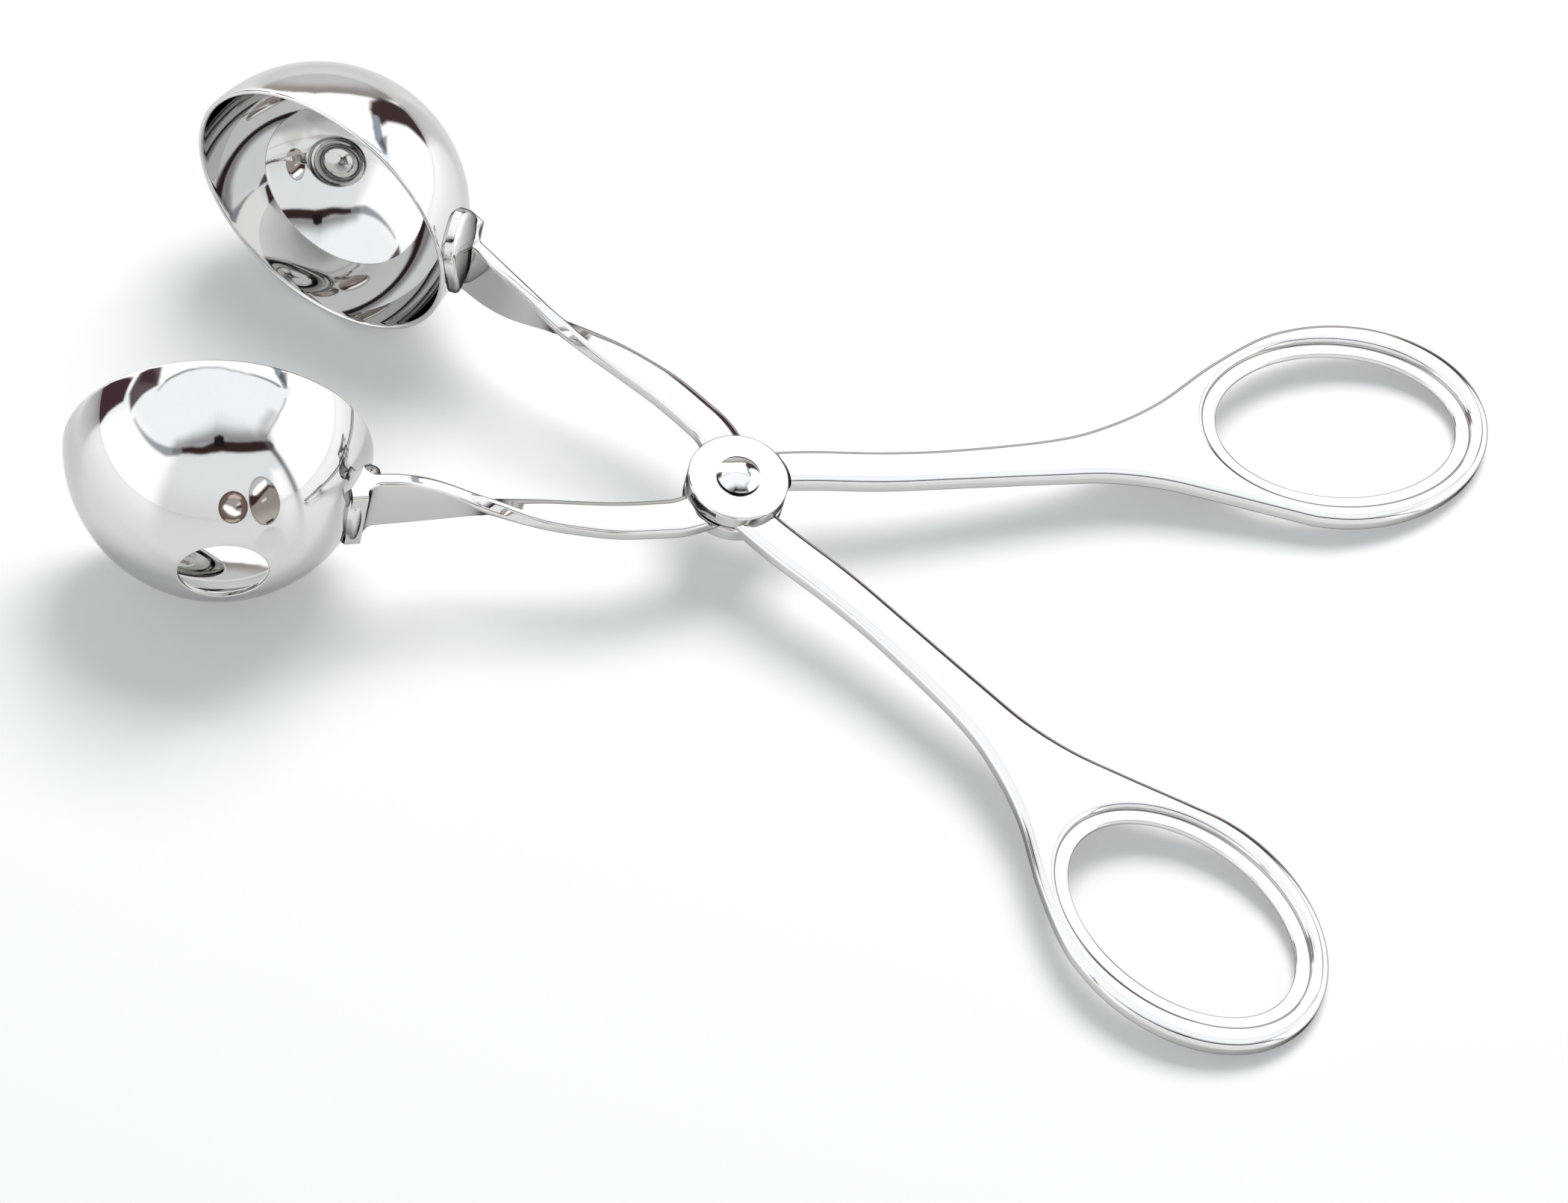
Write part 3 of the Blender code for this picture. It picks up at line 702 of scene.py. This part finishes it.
def steel(name, matrix, colour, roughness, grain, ripple, edge_tint):
    """Polished steel, whose colour and gloss drift over the surface, with fine buffing lines, specks,
    faint dents and brighter worn edges. The grain stretches the lines in the piece's own frame, and
    the edge tint is the metal's tint at grazing angles."""
    material = bpy.data.materials.new(name)
    material.use_nodes = True
    nodes = material.node_tree.nodes
    link = material.node_tree.links.new
    shader = nodes["Principled BSDF"]
    shader.inputs["Metallic"].default_value = 1.0
    shader.inputs["Specular Tint"].default_value = (edge_tint, edge_tint, edge_tint, 1.0)
    own_frame = nodes.new("ShaderNodeMapping")
    own_frame.inputs["Rotation"].default_value = matrix.to_3x3().inverted().to_euler()
    link(nodes.new("ShaderNodeTexCoord").outputs["Object"], own_frame.inputs["Vector"])

    def noise(scale, detail, stretch=(1.0, 1.0, 1.0)):
        mapping = nodes.new("ShaderNodeMapping")
        mapping.inputs["Scale"].default_value = stretch
        texture = nodes.new("ShaderNodeTexNoise")
        texture.inputs["Scale"].default_value = scale
        texture.inputs["Detail"].default_value = detail
        link(own_frame.outputs["Vector"], mapping.inputs["Vector"])
        link(mapping.outputs["Vector"], texture.inputs["Vector"])
        return texture.outputs["Fac"]

    def spread(value, limits, scale=1.0, source=NOISE_RANGE):
        """The value moved from the source range to the limits times the scale, and held there."""
        node = nodes.new("ShaderNodeMapRange")
        node.inputs["From Min"].default_value = source[0]
        node.inputs["From Max"].default_value = source[1]
        node.inputs["To Min"].default_value = limits[0] * scale
        node.inputs["To Max"].default_value = limits[1] * scale
        link(value, node.inputs["Value"])
        return node.outputs["Result"]

    def combine(operation, first, second):
        node = nodes.new("ShaderNodeMath")
        node.operation = operation
        link(first, node.inputs[0])
        link(second, node.inputs[1])
        return node.outputs["Value"]

    drift = noise(*DRIFT_NOISE)
    lines = noise(*LINE_NOISE, grain)
    specks = noise(*SPECK_NOISE)
    wear = nodes.new("ShaderNodeNewGeometry").outputs["Pointiness"]
    worn = spread(wear, (0.0, 1.0), source=WORN_RANGE)

    mix = nodes.new("ShaderNodeMix")
    mix.data_type = "RGBA"
    dull = tuple(DULL_SHARE * value for value in colour)
    mix.inputs["A"].default_value = (*dull, 1.0)
    mix.inputs["B"].default_value = (*colour, 1.0)
    tone = combine("ADD", spread(drift, DRIFT_TONES), spread(lines, LINE_TONES))
    link(combine("MAXIMUM", tone, worn), mix.inputs["Factor"])
    link(mix.outputs["Result"], shader.inputs["Base Color"])

    drifting = spread(drift, DRIFT_GLOSS_SHARES, roughness)
    lined = combine("ADD", drifting, spread(lines, LINE_GLOSS_SHARES, roughness))
    specked = combine("ADD", lined, spread(specks, SPECK_GLOSS_SHARES, roughness))
    link(specked, shader.inputs["Roughness"])

    dents = spread(drift, (0.0, ripple))
    height = combine("ADD", dents, spread(lines, (0.0, LINE_RIPPLE_SHARE), ripple))
    bump = nodes.new("ShaderNodeBump")
    bump.inputs["Strength"].default_value = 1.0
    bump.inputs["Distance"].default_value = BUMP_DISTANCE
    link(height, bump.inputs["Height"])
    link(bump.outputs["Normal"], shader.inputs["Normal"])
    return material


def show(name, mesh, matrix, material, node, body):
    """A piece in place of the CAD node, moving with its body."""
    mesh.transform(FIT @ matrix)
    mesh.materials.clear()
    mesh.materials.append(material)
    mesh.shade_smooth()
    mesh.set_sharp_from_angle(angle=SMOOTH_ANGLE)
    obj = add_object(name, mesh)
    normals = obj.modifiers.new("even_normals", "WEIGHTED_NORMAL")
    normals.keep_sharp = True
    normals.weight = NORMAL_WEIGHT
    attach(obj, body)
    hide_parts(node)


# Places of the pieces, from the hinge of the frame
joint = frame["joints"][0]
pivot = Vector(joint["pos_m"])
axis = Vector(joint["axis"]).normalized()
lean = math.atan2(axis.x, axis.z)
flat = Matrix.Translation(pivot) @ Matrix.Rotation(lean, 4, "Y")
turn_over = Matrix.Rotation(math.pi, 4, "X")
lower_side = flat @ Matrix.Rotation(OPEN_ANGLE, 4, "Z")
upper_side = flat @ Matrix.Rotation(-OPEN_ANGLE, 4, "Z") @ turn_over
cup_place = Matrix.Translation(CUP_CENTRE) @ Matrix.Rotation(-math.pi / 2, 4, "X")

# Facets cut the solids' curves short, so the smooth pieces are drawn smaller by as much
FIT_SHARE = 0.9990
box_centre = (cad_box[0] + cad_box[1]) / 2
FIT = Matrix.Translation(box_centre) @ Matrix.Scale(FIT_SHARE, 4) @ Matrix.Translation(-box_centre)

# Looks of the steel. The lines of the buffing wheel run along the bars and round the turned pieces
LEVER_COLOUR = (0.725, 0.714, 0.70)
CUP_COLOUR = (0.676, 0.672, 0.662)
GRAIN_ALONG = (1.0, 9.0, 9.0)
GRAIN_AROUND = (5.0, 5.0, 1.0)
BARS = {
    "colour": LEVER_COLOUR,
    "roughness": 0.075,
    "grain": GRAIN_ALONG,
    "ripple": 0.004,
    "edge_tint": 0.06,
}
BOWLS = {
    "colour": CUP_COLOUR,
    "roughness": 0.03,
    "grain": GRAIN_AROUND,
    "ripple": 0.002,
    "edge_tint": 0.75,
}
HEADS = {
    "colour": LEVER_COLOUR,
    "roughness": 0.09,
    "grain": GRAIN_AROUND,
    "ripple": 0.004,
    "edge_tint": 0.2,
}

lever = lever_mesh()
cup = cup_mesh()
for name, mesh, matrix, body, look in (
    ("lower_lever", lever, lower_side, "lower_half", BARS),
    ("upper_lever", lever.copy(), upper_side, "upper_half", BARS),
    ("lower_cup", cup, lower_side @ cup_place, "lower_half", BOWLS),
    ("upper_cup", cup.copy(), upper_side @ cup_place, "upper_half", BOWLS),
    ("pivot_rivet", rivet_mesh(), flat, "lower_half", HEADS),
):
    finish = steel(name + "_finish", matrix, **look)
    show(name + "_polished", mesh, matrix, finish, name, body)


def glossy_or_camera(tree):
    """1 for the camera and for mirror and glass rays, 0 for the light that falls on the object."""
    path = tree.nodes.new("ShaderNodeLightPath")
    value = path.outputs["Is Camera Ray"]
    for other in ("Is Glossy Ray", "Is Transmission Ray"):
        node = tree.nodes.new("ShaderNodeMath")
        node.operation = "MAXIMUM"
        tree.links.new(value, node.inputs[0])
        tree.links.new(path.outputs[other], node.inputs[1])
        value = node.outputs["Value"]
    return value


# World: white for the camera and in the steel, a plain cool fill for the rest
FILL = (0.37, 0.40, 0.409)
BACKDROP = (1.0, 1.0, 1.0)


def studio_world():
    world = bpy.data.worlds.new("studio")
    world.use_nodes = True
    tree = world.node_tree
    colour = tree.nodes.new("ShaderNodeMix")
    colour.data_type = "RGBA"
    colour.inputs["A"].default_value = (*FILL, 1.0)
    colour.inputs["B"].default_value = (*BACKDROP, 1.0)
    tree.links.new(glossy_or_camera(tree), colour.inputs["Factor"])
    tree.links.new(colour.outputs["Result"], tree.nodes["Background"].inputs["Color"])
    return world


bpy.context.scene.world = studio_world()

# Floor: a white sheet that keeps the soft shadows, with a faint glow of its own. It is matt to the
# camera, and has a sheen where the steel shows it
FLOOR_HALF = 4.0
FLOOR_GAP = 0.05 * MM
FLOOR_COLOUR = (0.92, 0.925, 0.925)
FLOOR_GLOW = 0.15
FLOOR_ROUGHNESS = 0.2
FLOOR_SHEEN = 0.9


def floor_paper():
    sheet = bpy.data.materials.new("floor_paper")
    sheet.use_nodes = True
    tree = sheet.node_tree
    link = tree.links.new
    tree.nodes.clear()

    def paper(roughness, sheen):
        shader = tree.nodes.new("ShaderNodeBsdfPrincipled")
        shader.inputs["Base Color"].default_value = (*FLOOR_COLOUR, 1.0)
        shader.inputs["Roughness"].default_value = roughness
        shader.inputs["Specular IOR Level"].default_value = sheen
        return shader.outputs["BSDF"]

    light_path = tree.nodes.new("ShaderNodeLightPath")
    surface = tree.nodes.new("ShaderNodeMixShader")
    link(light_path.outputs["Is Camera Ray"], surface.inputs["Fac"])
    link(paper(FLOOR_ROUGHNESS, FLOOR_SHEEN), surface.inputs[1])
    link(paper(1.0, 0.0), surface.inputs[2])

    level = tree.nodes.new("ShaderNodeMath")
    level.operation = "MULTIPLY"
    level.inputs[1].default_value = FLOOR_GLOW
    link(glossy_or_camera(tree), level.inputs[0])
    glow = tree.nodes.new("ShaderNodeEmission")
    link(level.outputs["Value"], glow.inputs["Strength"])

    both = tree.nodes.new("ShaderNodeAddShader")
    link(surface.outputs["Shader"], both.inputs[0])
    link(glow.outputs["Emission"], both.inputs[1])
    output = tree.nodes.new("ShaderNodeOutputMaterial")
    link(both.outputs["Shader"], output.inputs["Surface"])
    return sheet


floor_mesh = bpy.data.meshes.new("floor_sheet")
floor_corners = [(x * FLOOR_HALF, y * FLOOR_HALF, 0) for x, y in ((-1, -1), (1, -1), (1, 1), (-1, 1))]
floor_mesh.from_pydata(floor_corners, [], [(0, 1, 2, 3)])
floor_mesh.materials.append(floor_paper())
floor = add_object("floor_sheet", floor_mesh)
floor.location.z = -FLOOR_GAP


def direction(azimuth, elevation):
    """Unit vector, azimuth from +Y towards +X and elevation above the floor, in degrees."""
    a = math.radians(azimuth)
    e = math.radians(elevation)
    return Vector((math.sin(a) * math.cos(e), math.cos(a) * math.cos(e), math.sin(e)))


# Soft box behind the tongs, which throws the shadows towards the viewer
KEY_DIRECTION = (4.0, 62.0)
KEY_DISTANCE = 1.0
KEY_SIZE = 0.55
KEY_POWER = 7.2
KEY_COLOUR = (1.0, 0.985, 0.965)
lamp = bpy.data.lights.new("rear_softbox", "AREA")
lamp.shape = "SQUARE"
lamp.size = KEY_SIZE
lamp.energy = KEY_POWER
lamp.color = KEY_COLOUR
lamp_object = add_object("rear_softbox", lamp)
toward = direction(*KEY_DIRECTION)
lamp_object.location = toward * KEY_DISTANCE
lamp_object.rotation_mode = "QUATERNION"
lamp_object.rotation_quaternion = toward.to_track_quat("Z", "Y")
lamp_object.visible_camera = False
lamp_object.visible_glossy = False

# Dome of painted reflectors round the set, seen only in the polished steel
DOME_RADIUS = 3.0
DOME_STEP = 1.0
DOME_BOTTOM = -40.0
DOME_TOP = 90.0

# Tones of the reflectors: the light that each sends back
WHITE = (1.6, 1.6, 1.6)
CEILING = (1.30, 1.36, 1.42)
FRONT = (1.08, 1.12, 1.15)
LOW_FRONT = (0.80, 0.79, 0.77)
BOX_FRAME = (0.75, 0.79, 0.83)
FRAME_LEFT_END = (0.26, 0.26, 0.26)
FRAME_RIGHT_END = (0.22, 0.22, 0.23)
RIGHT_BOX_SIDE = (0.13, 0.12, 0.14)
RIGHT_BOX_TOP = (0.25, 0.24, 0.25)
SCREEN_EDGE = (0.42, 0.39, 0.36)
SCREEN = (0.80, 0.81, 0.82)
REAR_FLAG = (0.075, 0.045, 0.045)
REAR_FLAG_TIP = (0.12, 0.09, 0.095)
LEFT_FLAG = (0.085, 0.042, 0.052)
MAROON = (0.05, 0.026, 0.028)
SOFT_MAROON = (0.17, 0.125, 0.135)
BLUE_GREY = (0.40, 0.48, 0.57)
CAMERA_BODY = (0.02, 0.015, 0.018)
BOOM_END_SHADE = (0.35, 0.34, 0.35)
BOOM_WIDE_SHADE = (0.45, 0.46, 0.48)
BOOM_SHADE = (0.24, 0.23, 0.24)
BOOM_TAIL = (0.30, 0.32, 0.36)


def wrapped(azimuths, middle):
    return (azimuths - middle + 180.0) % 360.0 - 180.0


def polygon_cover(az, el, corners, softness):
    """1 well inside the polygon of azimuth and elevation pairs, 0 well outside."""
    middle = sum(corner[0] for corner in corners) / len(corners)
    x = wrapped(az, middle)
    inside = np.zeros(x.shape, bool)
    distance = np.full(x.shape, np.inf)
    points = [(corner[0] - middle, corner[1]) for corner in corners]
    for (ax, ay), (bx, by) in zip(points, points[1:] + points[:1]):
        if ay != by:
            crosses = (ay > el) != (by > el)
            inside ^= crosses & (x < (bx - ax) * (el - ay) / (by - ay) + ax)
        length = (bx - ax) ** 2 + (by - ay) ** 2
        share = np.clip(((x - ax) * (bx - ax) + (el - ay) * (by - ay)) / length, 0, 1)
        near = np.hypot(x - ax - share * (bx - ax), el - ay - share * (by - ay))
        distance = np.minimum(distance, near)
    signed = np.where(inside, distance, -distance)
    return smooth_share(signed / softness + 0.5)


def stroke_cover(az, el, path, softness):
    """1 well inside the path of azimuth, elevation and half width, 0 well outside."""
    middle = sum(point[0] for point in path) / len(path)
    x = wrapped(az, middle)
    cover = np.zeros(x.shape)
    points = [(point[0] - middle, point[1], point[2]) for point in path]
    for (ax, ay, aw), (bx, by, bw) in zip(points, points[1:]):
        length = (bx - ax) ** 2 + (by - ay) ** 2
        share = np.clip(((x - ax) * (bx - ax) + (el - ay) * (by - ay)) / length, 0, 1)
        near = np.hypot(x - ax - share * (bx - ax), el - ay - share * (by - ay))
        cover = np.maximum(cover, smooth_share((aw + share * (bw - aw) - near) / softness + 0.5))
    return cover


def ramp(value, low, high):
    return smooth_share((value - low) / (high - low))


def painting(x, y, ground):
    """Tones for the places x and y, in the ground tone at first. With them come three functions that
    lay a tone over part of them: by a cover, by the corners of a polygon and by the path of a stroke."""
    tones = np.empty(x.shape + (3,))
    tones[:] = ground

    def lay(tone, cover):
        tones[:] = tones + cover[..., None] * (np.array(tone) - tones)

    def polygon(tone, softness, corners, share=1.0):
        lay(tone, share * polygon_cover(x, y, corners, softness))

    def stroke(tone, softness, path, share=1.0):
        lay(tone, share * stroke_cover(x, y, path, softness))

    return tones, lay, polygon, stroke


def reflector_tones(az, el):
    """Tones of the dome. Places are azimuth and elevation in degrees, with a stroke's half width."""
    tones, _, polygon, stroke = painting(az, el, CEILING)

    # Wall behind the camera, a shade darker below the camera's boom
    polygon(FRONT, 6.0, [(100, -60), (108, 47), (135, 56), (165, 57), (180, 51), (196, 47), (212, 38),
                         (222, -60)])
    polygon(LOW_FRONT, 6.0, [(100, -60), (108, 47), (135, 56), (165, 57), (222, 40), (222, -60)],
            0.5 * ramp(-el, -26, 6))

    # Left box and right box
    polygon(WHITE, 15.0, [(-156, -45), (-156, 39), (-145, 35), (-120, 33), (-97, 26), (-94, -45)])
    polygon(WHITE, 6.0, [(110, 1), (111, 22), (118, 26), (122, 10), (118, 0)], 0.8)
    polygon(WHITE, 2.0, [(33, -45), (36, 32), (58, 41), (75, 45.5), (92, 47), (104, 46.5), (105.5, -45)])

    # Rear box, with a thin frame that is darker near both ends
    polygon(WHITE, 2.0, [(-84, -45), (-86, 46), (-70, 54), (-50, 61), (-30, 64.5), (0, 65.5), (20, 62),
                         (35, 54), (47, 44), (47, -45)])
    stroke(BOX_FRAME, 1.6, [(-90, 47, 0.8), (-70, 55, 0.9), (-50, 62, 0.9), (-30, 65.5, 0.9),
                            (0, 66.5, 0.9), (20, 63, 0.9), (35, 55, 1.0), (46, 46, 1.0)])
    stroke(FRAME_LEFT_END, 1.8, [(-80, 50, 0.9), (-68, 56, 0.9), (-52, 61.5, 0.5)], 0.8)
    stroke(FRAME_RIGHT_END, 1.8, [(26, 60.5, 0.5), (36, 54, 1.0), (47, 45, 1.2)], 0.8)

    # Pale screen low behind, with a brown edge
    polygon(SCREEN_EDGE, 3.0, [(-38, -50), (-40, 0), (-38, 12), (-32, 21), (-22, 26.5), (-10, 24),
                               (-1, 19), (6, 12), (8, -2), (9, -50)])
    polygon(SCREEN, 12.0, [(-34, -60), (-36, 0), (-33, 8), (-28, 14), (-20, 17), (-10, 14), (-2, 6),
                           (2, -60)])

    # Dark flags behind
    polygon(REAR_FLAG, 3.5, [(5, 8), (5, 19), (9, 27), (16, 33), (23, 31), (21, 24), (24, 10), (32, 0),
                             (34, -6), (28, -9), (11, 0)])
    stroke(BLUE_GREY, 2.0, [(16, 30, 2.5), (24, 36.5, 3.0), (34, 41, 3.0), (47, 41, 1.8)])
    polygon(REAR_FLAG_TIP, 2.5, [(31, 33), (33, 39), (38, 43), (47, 39.5), (38, 36.5)], 0.75)
    polygon(SOFT_MAROON, 2.6, [(-101, 27), (-92, 36), (-85, 46), (-76, 44.5), (-66, 41), (-68, 31),
                               (-76, 28), (-88, 25)])
    polygon(MAROON, 5.0, [(-84, 43), (-76, 42), (-70, 36), (-74, 29), (-82, 31)], 0.8)
    polygon(LEFT_FLAG, 2.0, [(-92, 21), (-77, 24.5), (-73, 5), (-77, -8), (-97, -7), (-93, 8)])

    # Soft shade above the boom over the camera
    stroke(BOOM_END_SHADE, 9.0, [(78, 51, 3.0), (92, 53, 4.0), (106, 50, 5.0)], 0.5)
    stroke(BOOM_WIDE_SHADE, 22.0, [(107, 48, 6.0), (120, 57, 9.0), (135, 62, 10.0), (150, 65, 10.0),
                                   (165, 66, 10.0), (180, 61, 8.0), (195, 54, 6.0)], 0.3)
    stroke(BOOM_SHADE, 14.0, [(107, 46, 4.0), (120, 53, 5.5), (135, 57, 6.0), (150, 60, 6.0),
                              (165, 61, 6.0), (180, 57, 5.5), (195, 52, 5.0), (207, 46, 3.0)], 0.85)

    # The boom itself, with the camera on it, and its thin tail
    stroke(MAROON, 2.6, [(107.5, 40, 3.4), (114, 43.8, 4.0), (120, 46.3, 4.2), (132.5, 50, 4.1),
                         (145, 52.8, 4.0), (157.5, 54.6, 4.0), (170, 53, 3.8), (180, 49.8, 3.0),
                         (192.5, 47.5, 2.7), (200, 44.5, 2.4), (206, 41, 2.0)])
    polygon(CAMERA_BODY, 2.0, [(154, 54), (154, 61.5), (160, 63), (168, 61), (168, 54)])
    stroke(BOOM_TAIL, 2.6, [(203, 42.5, 3.4), (212, 37.5, 3.4), (226, 34, 2.0), (242, 31, 0.9),
                            (252, 29, 0.5)], 0.85)

    # Dark edges of the right box
    stroke(RIGHT_BOX_SIDE, 3.6, [(107.3, -8, 0.9), (107.3, 20, 1.4), (108, 42, 2.6)], 0.9)
    stroke(RIGHT_BOX_TOP, 1.4, [(58, 42, 0.6), (75, 46.3, 0.6), (92, 47.8, 0.6), (105, 47, 0.6)], 0.6)
    return tones


def glowing(name, mesh, tones):
    """A staged thing of the mesh that glows in the given painted tones, a painted reflection seen only
    in the polished steel, and lights nothing."""
    layer = mesh.color_attributes.new("tone", "FLOAT_COLOR", "POINT")
    values = np.ones((len(mesh.vertices), 4), np.float32)
    values[:, :3] = tones.reshape(-1, 3)
    layer.data.foreach_set("color", values.ravel())
    mesh.shade_smooth()
    # Painted glow: the tones are painted reflections and come from no lamp
    material = bpy.data.materials.new(name + "_painted_glow")
    material.use_nodes = True
    tree = material.node_tree
    tree.nodes.clear()
    tone = tree.nodes.new("ShaderNodeAttribute")
    tone.attribute_name = "tone"
    emission = tree.nodes.new("ShaderNodeEmission")
    output = tree.nodes.new("ShaderNodeOutputMaterial")
    tree.links.new(tone.outputs["Color"], emission.inputs["Color"])
    tree.links.new(emission.outputs["Emission"], output.inputs["Surface"])
    material.cycles.emission_sampling = "NONE"
    mesh.materials.append(material)
    obj = add_object(name, mesh)
    obj.visible_camera = False
    obj.visible_diffuse = False
    obj.visible_shadow = False
    obj.visible_transmission = False
    obj.visible_volume_scatter = False


def grid_faces(rows, columns):
    """Faces between neighbouring rows of points, where each row closes on itself."""
    faces = []
    for row in range(rows - 1):
        low = row * columns
        high = low + columns
        for i in range(columns):
            k = (i + 1) % columns
            faces.append((low + i, high + i, high + k, low + k))
    return faces


def dome():
    columns = round(360 / DOME_STEP)
    rows = round((DOME_TOP - DOME_BOTTOM) / DOME_STEP) + 1
    azimuths = np.arange(columns) * 360.0 / columns
    elevations = np.linspace(DOME_BOTTOM, DOME_TOP, rows)
    az, el = np.meshgrid(azimuths, elevations)
    a = np.radians(az)
    e = np.radians(el)
    points = np.stack((np.sin(a) * np.cos(e), np.cos(a) * np.cos(e), np.sin(e)), -1) * DOME_RADIUS
    mesh = bpy.data.meshes.new("reflectors")
    mesh.from_pydata(points.reshape(-1, 3).tolist(), [], grid_faces(rows, columns))
    glowing("reflectors", mesh, reflector_tones(az, el))


# Painted reflections of two other polished things on the table, nearer to the viewer than the tongs,
# which show only as small pictures in the cups: each a round glowing sheet, seen only in the steel,
# that faces the lower cup
WARE_DISTANCE = 110.0 * MM
WARE_STEPS = 48


def paint_ware_reflection(name, start, away, half_sizes, paint):
    """A glowing sheet of painted reflection, seen from the start in the direction away, with half its
    width and height in degrees. paint gives the painted tones for places from -1 to 1, rightwards and
    upwards as the cup shows them."""
    side = Vector((-away.y, away.x, 0)).normalized()
    rise = away.cross(-side)
    if rise.z < 0:
        rise.negate()
    middle = start + away * WARE_DISTANCE
    reach = [WARE_DISTANCE * math.tan(math.radians(half_size)) for half_size in half_sizes]
    shares = np.linspace(0, 1, WARE_STEPS)
    turns = np.arange(2 * WARE_STEPS) * math.pi / WARE_STEPS
    rho, turn = np.meshgrid(shares, turns)
    u = rho * np.cos(turn)
    v = rho * np.sin(turn)
    points = []
    for a, b in zip(u.ravel(), v.ravel()):
        points.append(middle + side * (a * reach[0]) + rise * (b * reach[1]))
    faces = []
    count = len(turns)
    for i in range(count):
        k = (i + 1) % count
        for j in range(WARE_STEPS - 1):
            low = i * WARE_STEPS + j
            high = k * WARE_STEPS + j
            faces.append((low, low + 1, high + 1, high))
    mesh = bpy.data.meshes.new(name)
    mesh.from_pydata(points, [], faces)
    glowing(name, mesh, paint(u, v))


def round_ware_reflection(u, v):
    """Painted reflection of a dark round thing: a pale middle, small painted highlights and a light
    lower rim.
    """
    tones, lay, _, stroke = painting(u, v, (0.15, 0.09, 0.07))
    rho = np.hypot(u, v)
    lay((0.30, 0.22, 0.19), 0.5 * ramp(-rho, -0.96, -0.82))
    stroke((0.9, 0.72, 0.6), 0.2, [(-0.15, 0.62, 0.1), (0.15, 0.66, 0.14), (0.5, 0.5, 0.1)])
    stroke((0.7, 0.58, 0.44), 0.12, [(-0.5, -0.75, 0.06), (-0.1, -0.86, 0.08), (0.3, -0.8, 0.06)])
    lay((0.48, 0.46, 0.45), ramp(-rho, -0.66, -0.5))
    # Painted highlight on the painted reflection
    stroke((1.7, 1.7, 1.65), 0.2, [(-0.5, 0.05, 0.16), (-0.2, -0.15, 0.22), (0.1, -0.38, 0.16),
                                   (0.35, -0.4, 0.1)])
    stroke((0.9, 0.88, 0.84), 0.1, [(0.3, 0.1, 0.08), (0.45, 0.18, 0.08)])
    stroke((0.10, 0.06, 0.05), 0.12, [(0.28, -0.04, 0.08), (0.55, -0.02, 0.1)])
    return tones


def tall_ware_reflection(u, v):
    """Painted reflection of a brown thing: a pale top, a bright painted highlight line and a dark band
    across.
    """
    tones, lay, polygon, stroke = painting(u, v, (0.42, 0.37, 0.34))
    lay((0.62, 0.58, 0.52), ramp(-v, 0.2, 0.75))
    polygon((0.72, 0.73, 0.74), 0.16, [(-1.2, 0.4), (-1.2, 1.2), (1.2, 1.2), (1.2, 0.4), (0.5, 0.5)])
    # Painted highlight line on the painted reflection
    stroke((1.9, 1.9, 1.85), 0.1, [(-0.5, 0.44, 0.1), (-0.1, 0.56, 0.13), (0.4, 0.66, 0.1)])
    polygon((0.07, 0.03, 0.035), 0.1, [(-1.1, 0.4), (-0.9, 0.42), (-0.3, 0.3), (0.55, 0.54), (1.1, 0.3),
                                       (1.1, 0.18), (0.6, 0.42), (0.0, 0.26), (-0.6, 0.02),
                                       (-1.1, -0.08)])
    stroke((1.0, 0.95, 0.85), 0.08, [(-0.12, 0.03, 0.05), (0.12, 0.06, 0.05)])
    stroke((0.06, 0.025, 0.02), 0.08, [(-0.1, -0.9, 0.06), (0.3, -0.84, 0.06)])
    lay((0.3, 0.27, 0.25), 0.7 * ramp(np.hypot(u, v), 0.9, 1.0))
    return tones


# Each ware's painted reflection: where on the lower cup its picture lies, as a direction from the
# cup's middle, the direction from there to the ware, and half the ware's width and height, all in
# degrees
WARE_REFLECTIONS = (
    ("round_ware_reflection", (158, 33), (150.0, 7.0), (11.0, 14.0), round_ware_reflection),
    ("tall_ware_reflection", (147, 32), (128.0, 5.5), (11.5, 21.0), tall_ware_reflection),
)

dome()
cup_middle = lower_side @ CUP_CENTRE
for name, spot, away, half_sizes, paint in WARE_REFLECTIONS:
    paint_ware_reflection(name, cup_middle + direction(*spot) * CUP_RADIUS, direction(*away), half_sizes, paint)

# Camera, placed from the photograph in the frame of the flat tongs
CAMERA_EYE = Vector((40.1, -582.7, 829.7)) * MM
CAMERA_FORWARD = Vector((-0.0277, 0.5637, -0.8255))
CAMERA_RIGHT = Vector((0.9458, 0.2822, 0.161))
CAMERA_NEAR = 0.01
CAMERA_FAR = 50.0
SENSOR_WIDTH = 36.0
LENS = 160.61
forward = (flat.to_3x3() @ CAMERA_FORWARD).normalized()
right = flat.to_3x3() @ CAMERA_RIGHT
right = (right - forward * right.dot(forward)).normalized()
up = right.cross(forward)
camera = bpy.data.cameras.new("photo_camera")
camera.sensor_fit = "HORIZONTAL"
camera.sensor_width = SENSOR_WIDTH
camera.lens = LENS
camera.clip_start = CAMERA_NEAR
camera.clip_end = CAMERA_FAR
camera_object = add_object("photo_camera", camera)
turn = Matrix((right, up, -forward)).transposed()
camera_object.matrix_world = Matrix.Translation(flat @ CAMERA_EYE) @ turn.to_4x4()
bpy.context.scene.camera = camera_object
bpy.context.scene.view_settings.view_transform = "Standard"

bpy.context.view_layer.update()
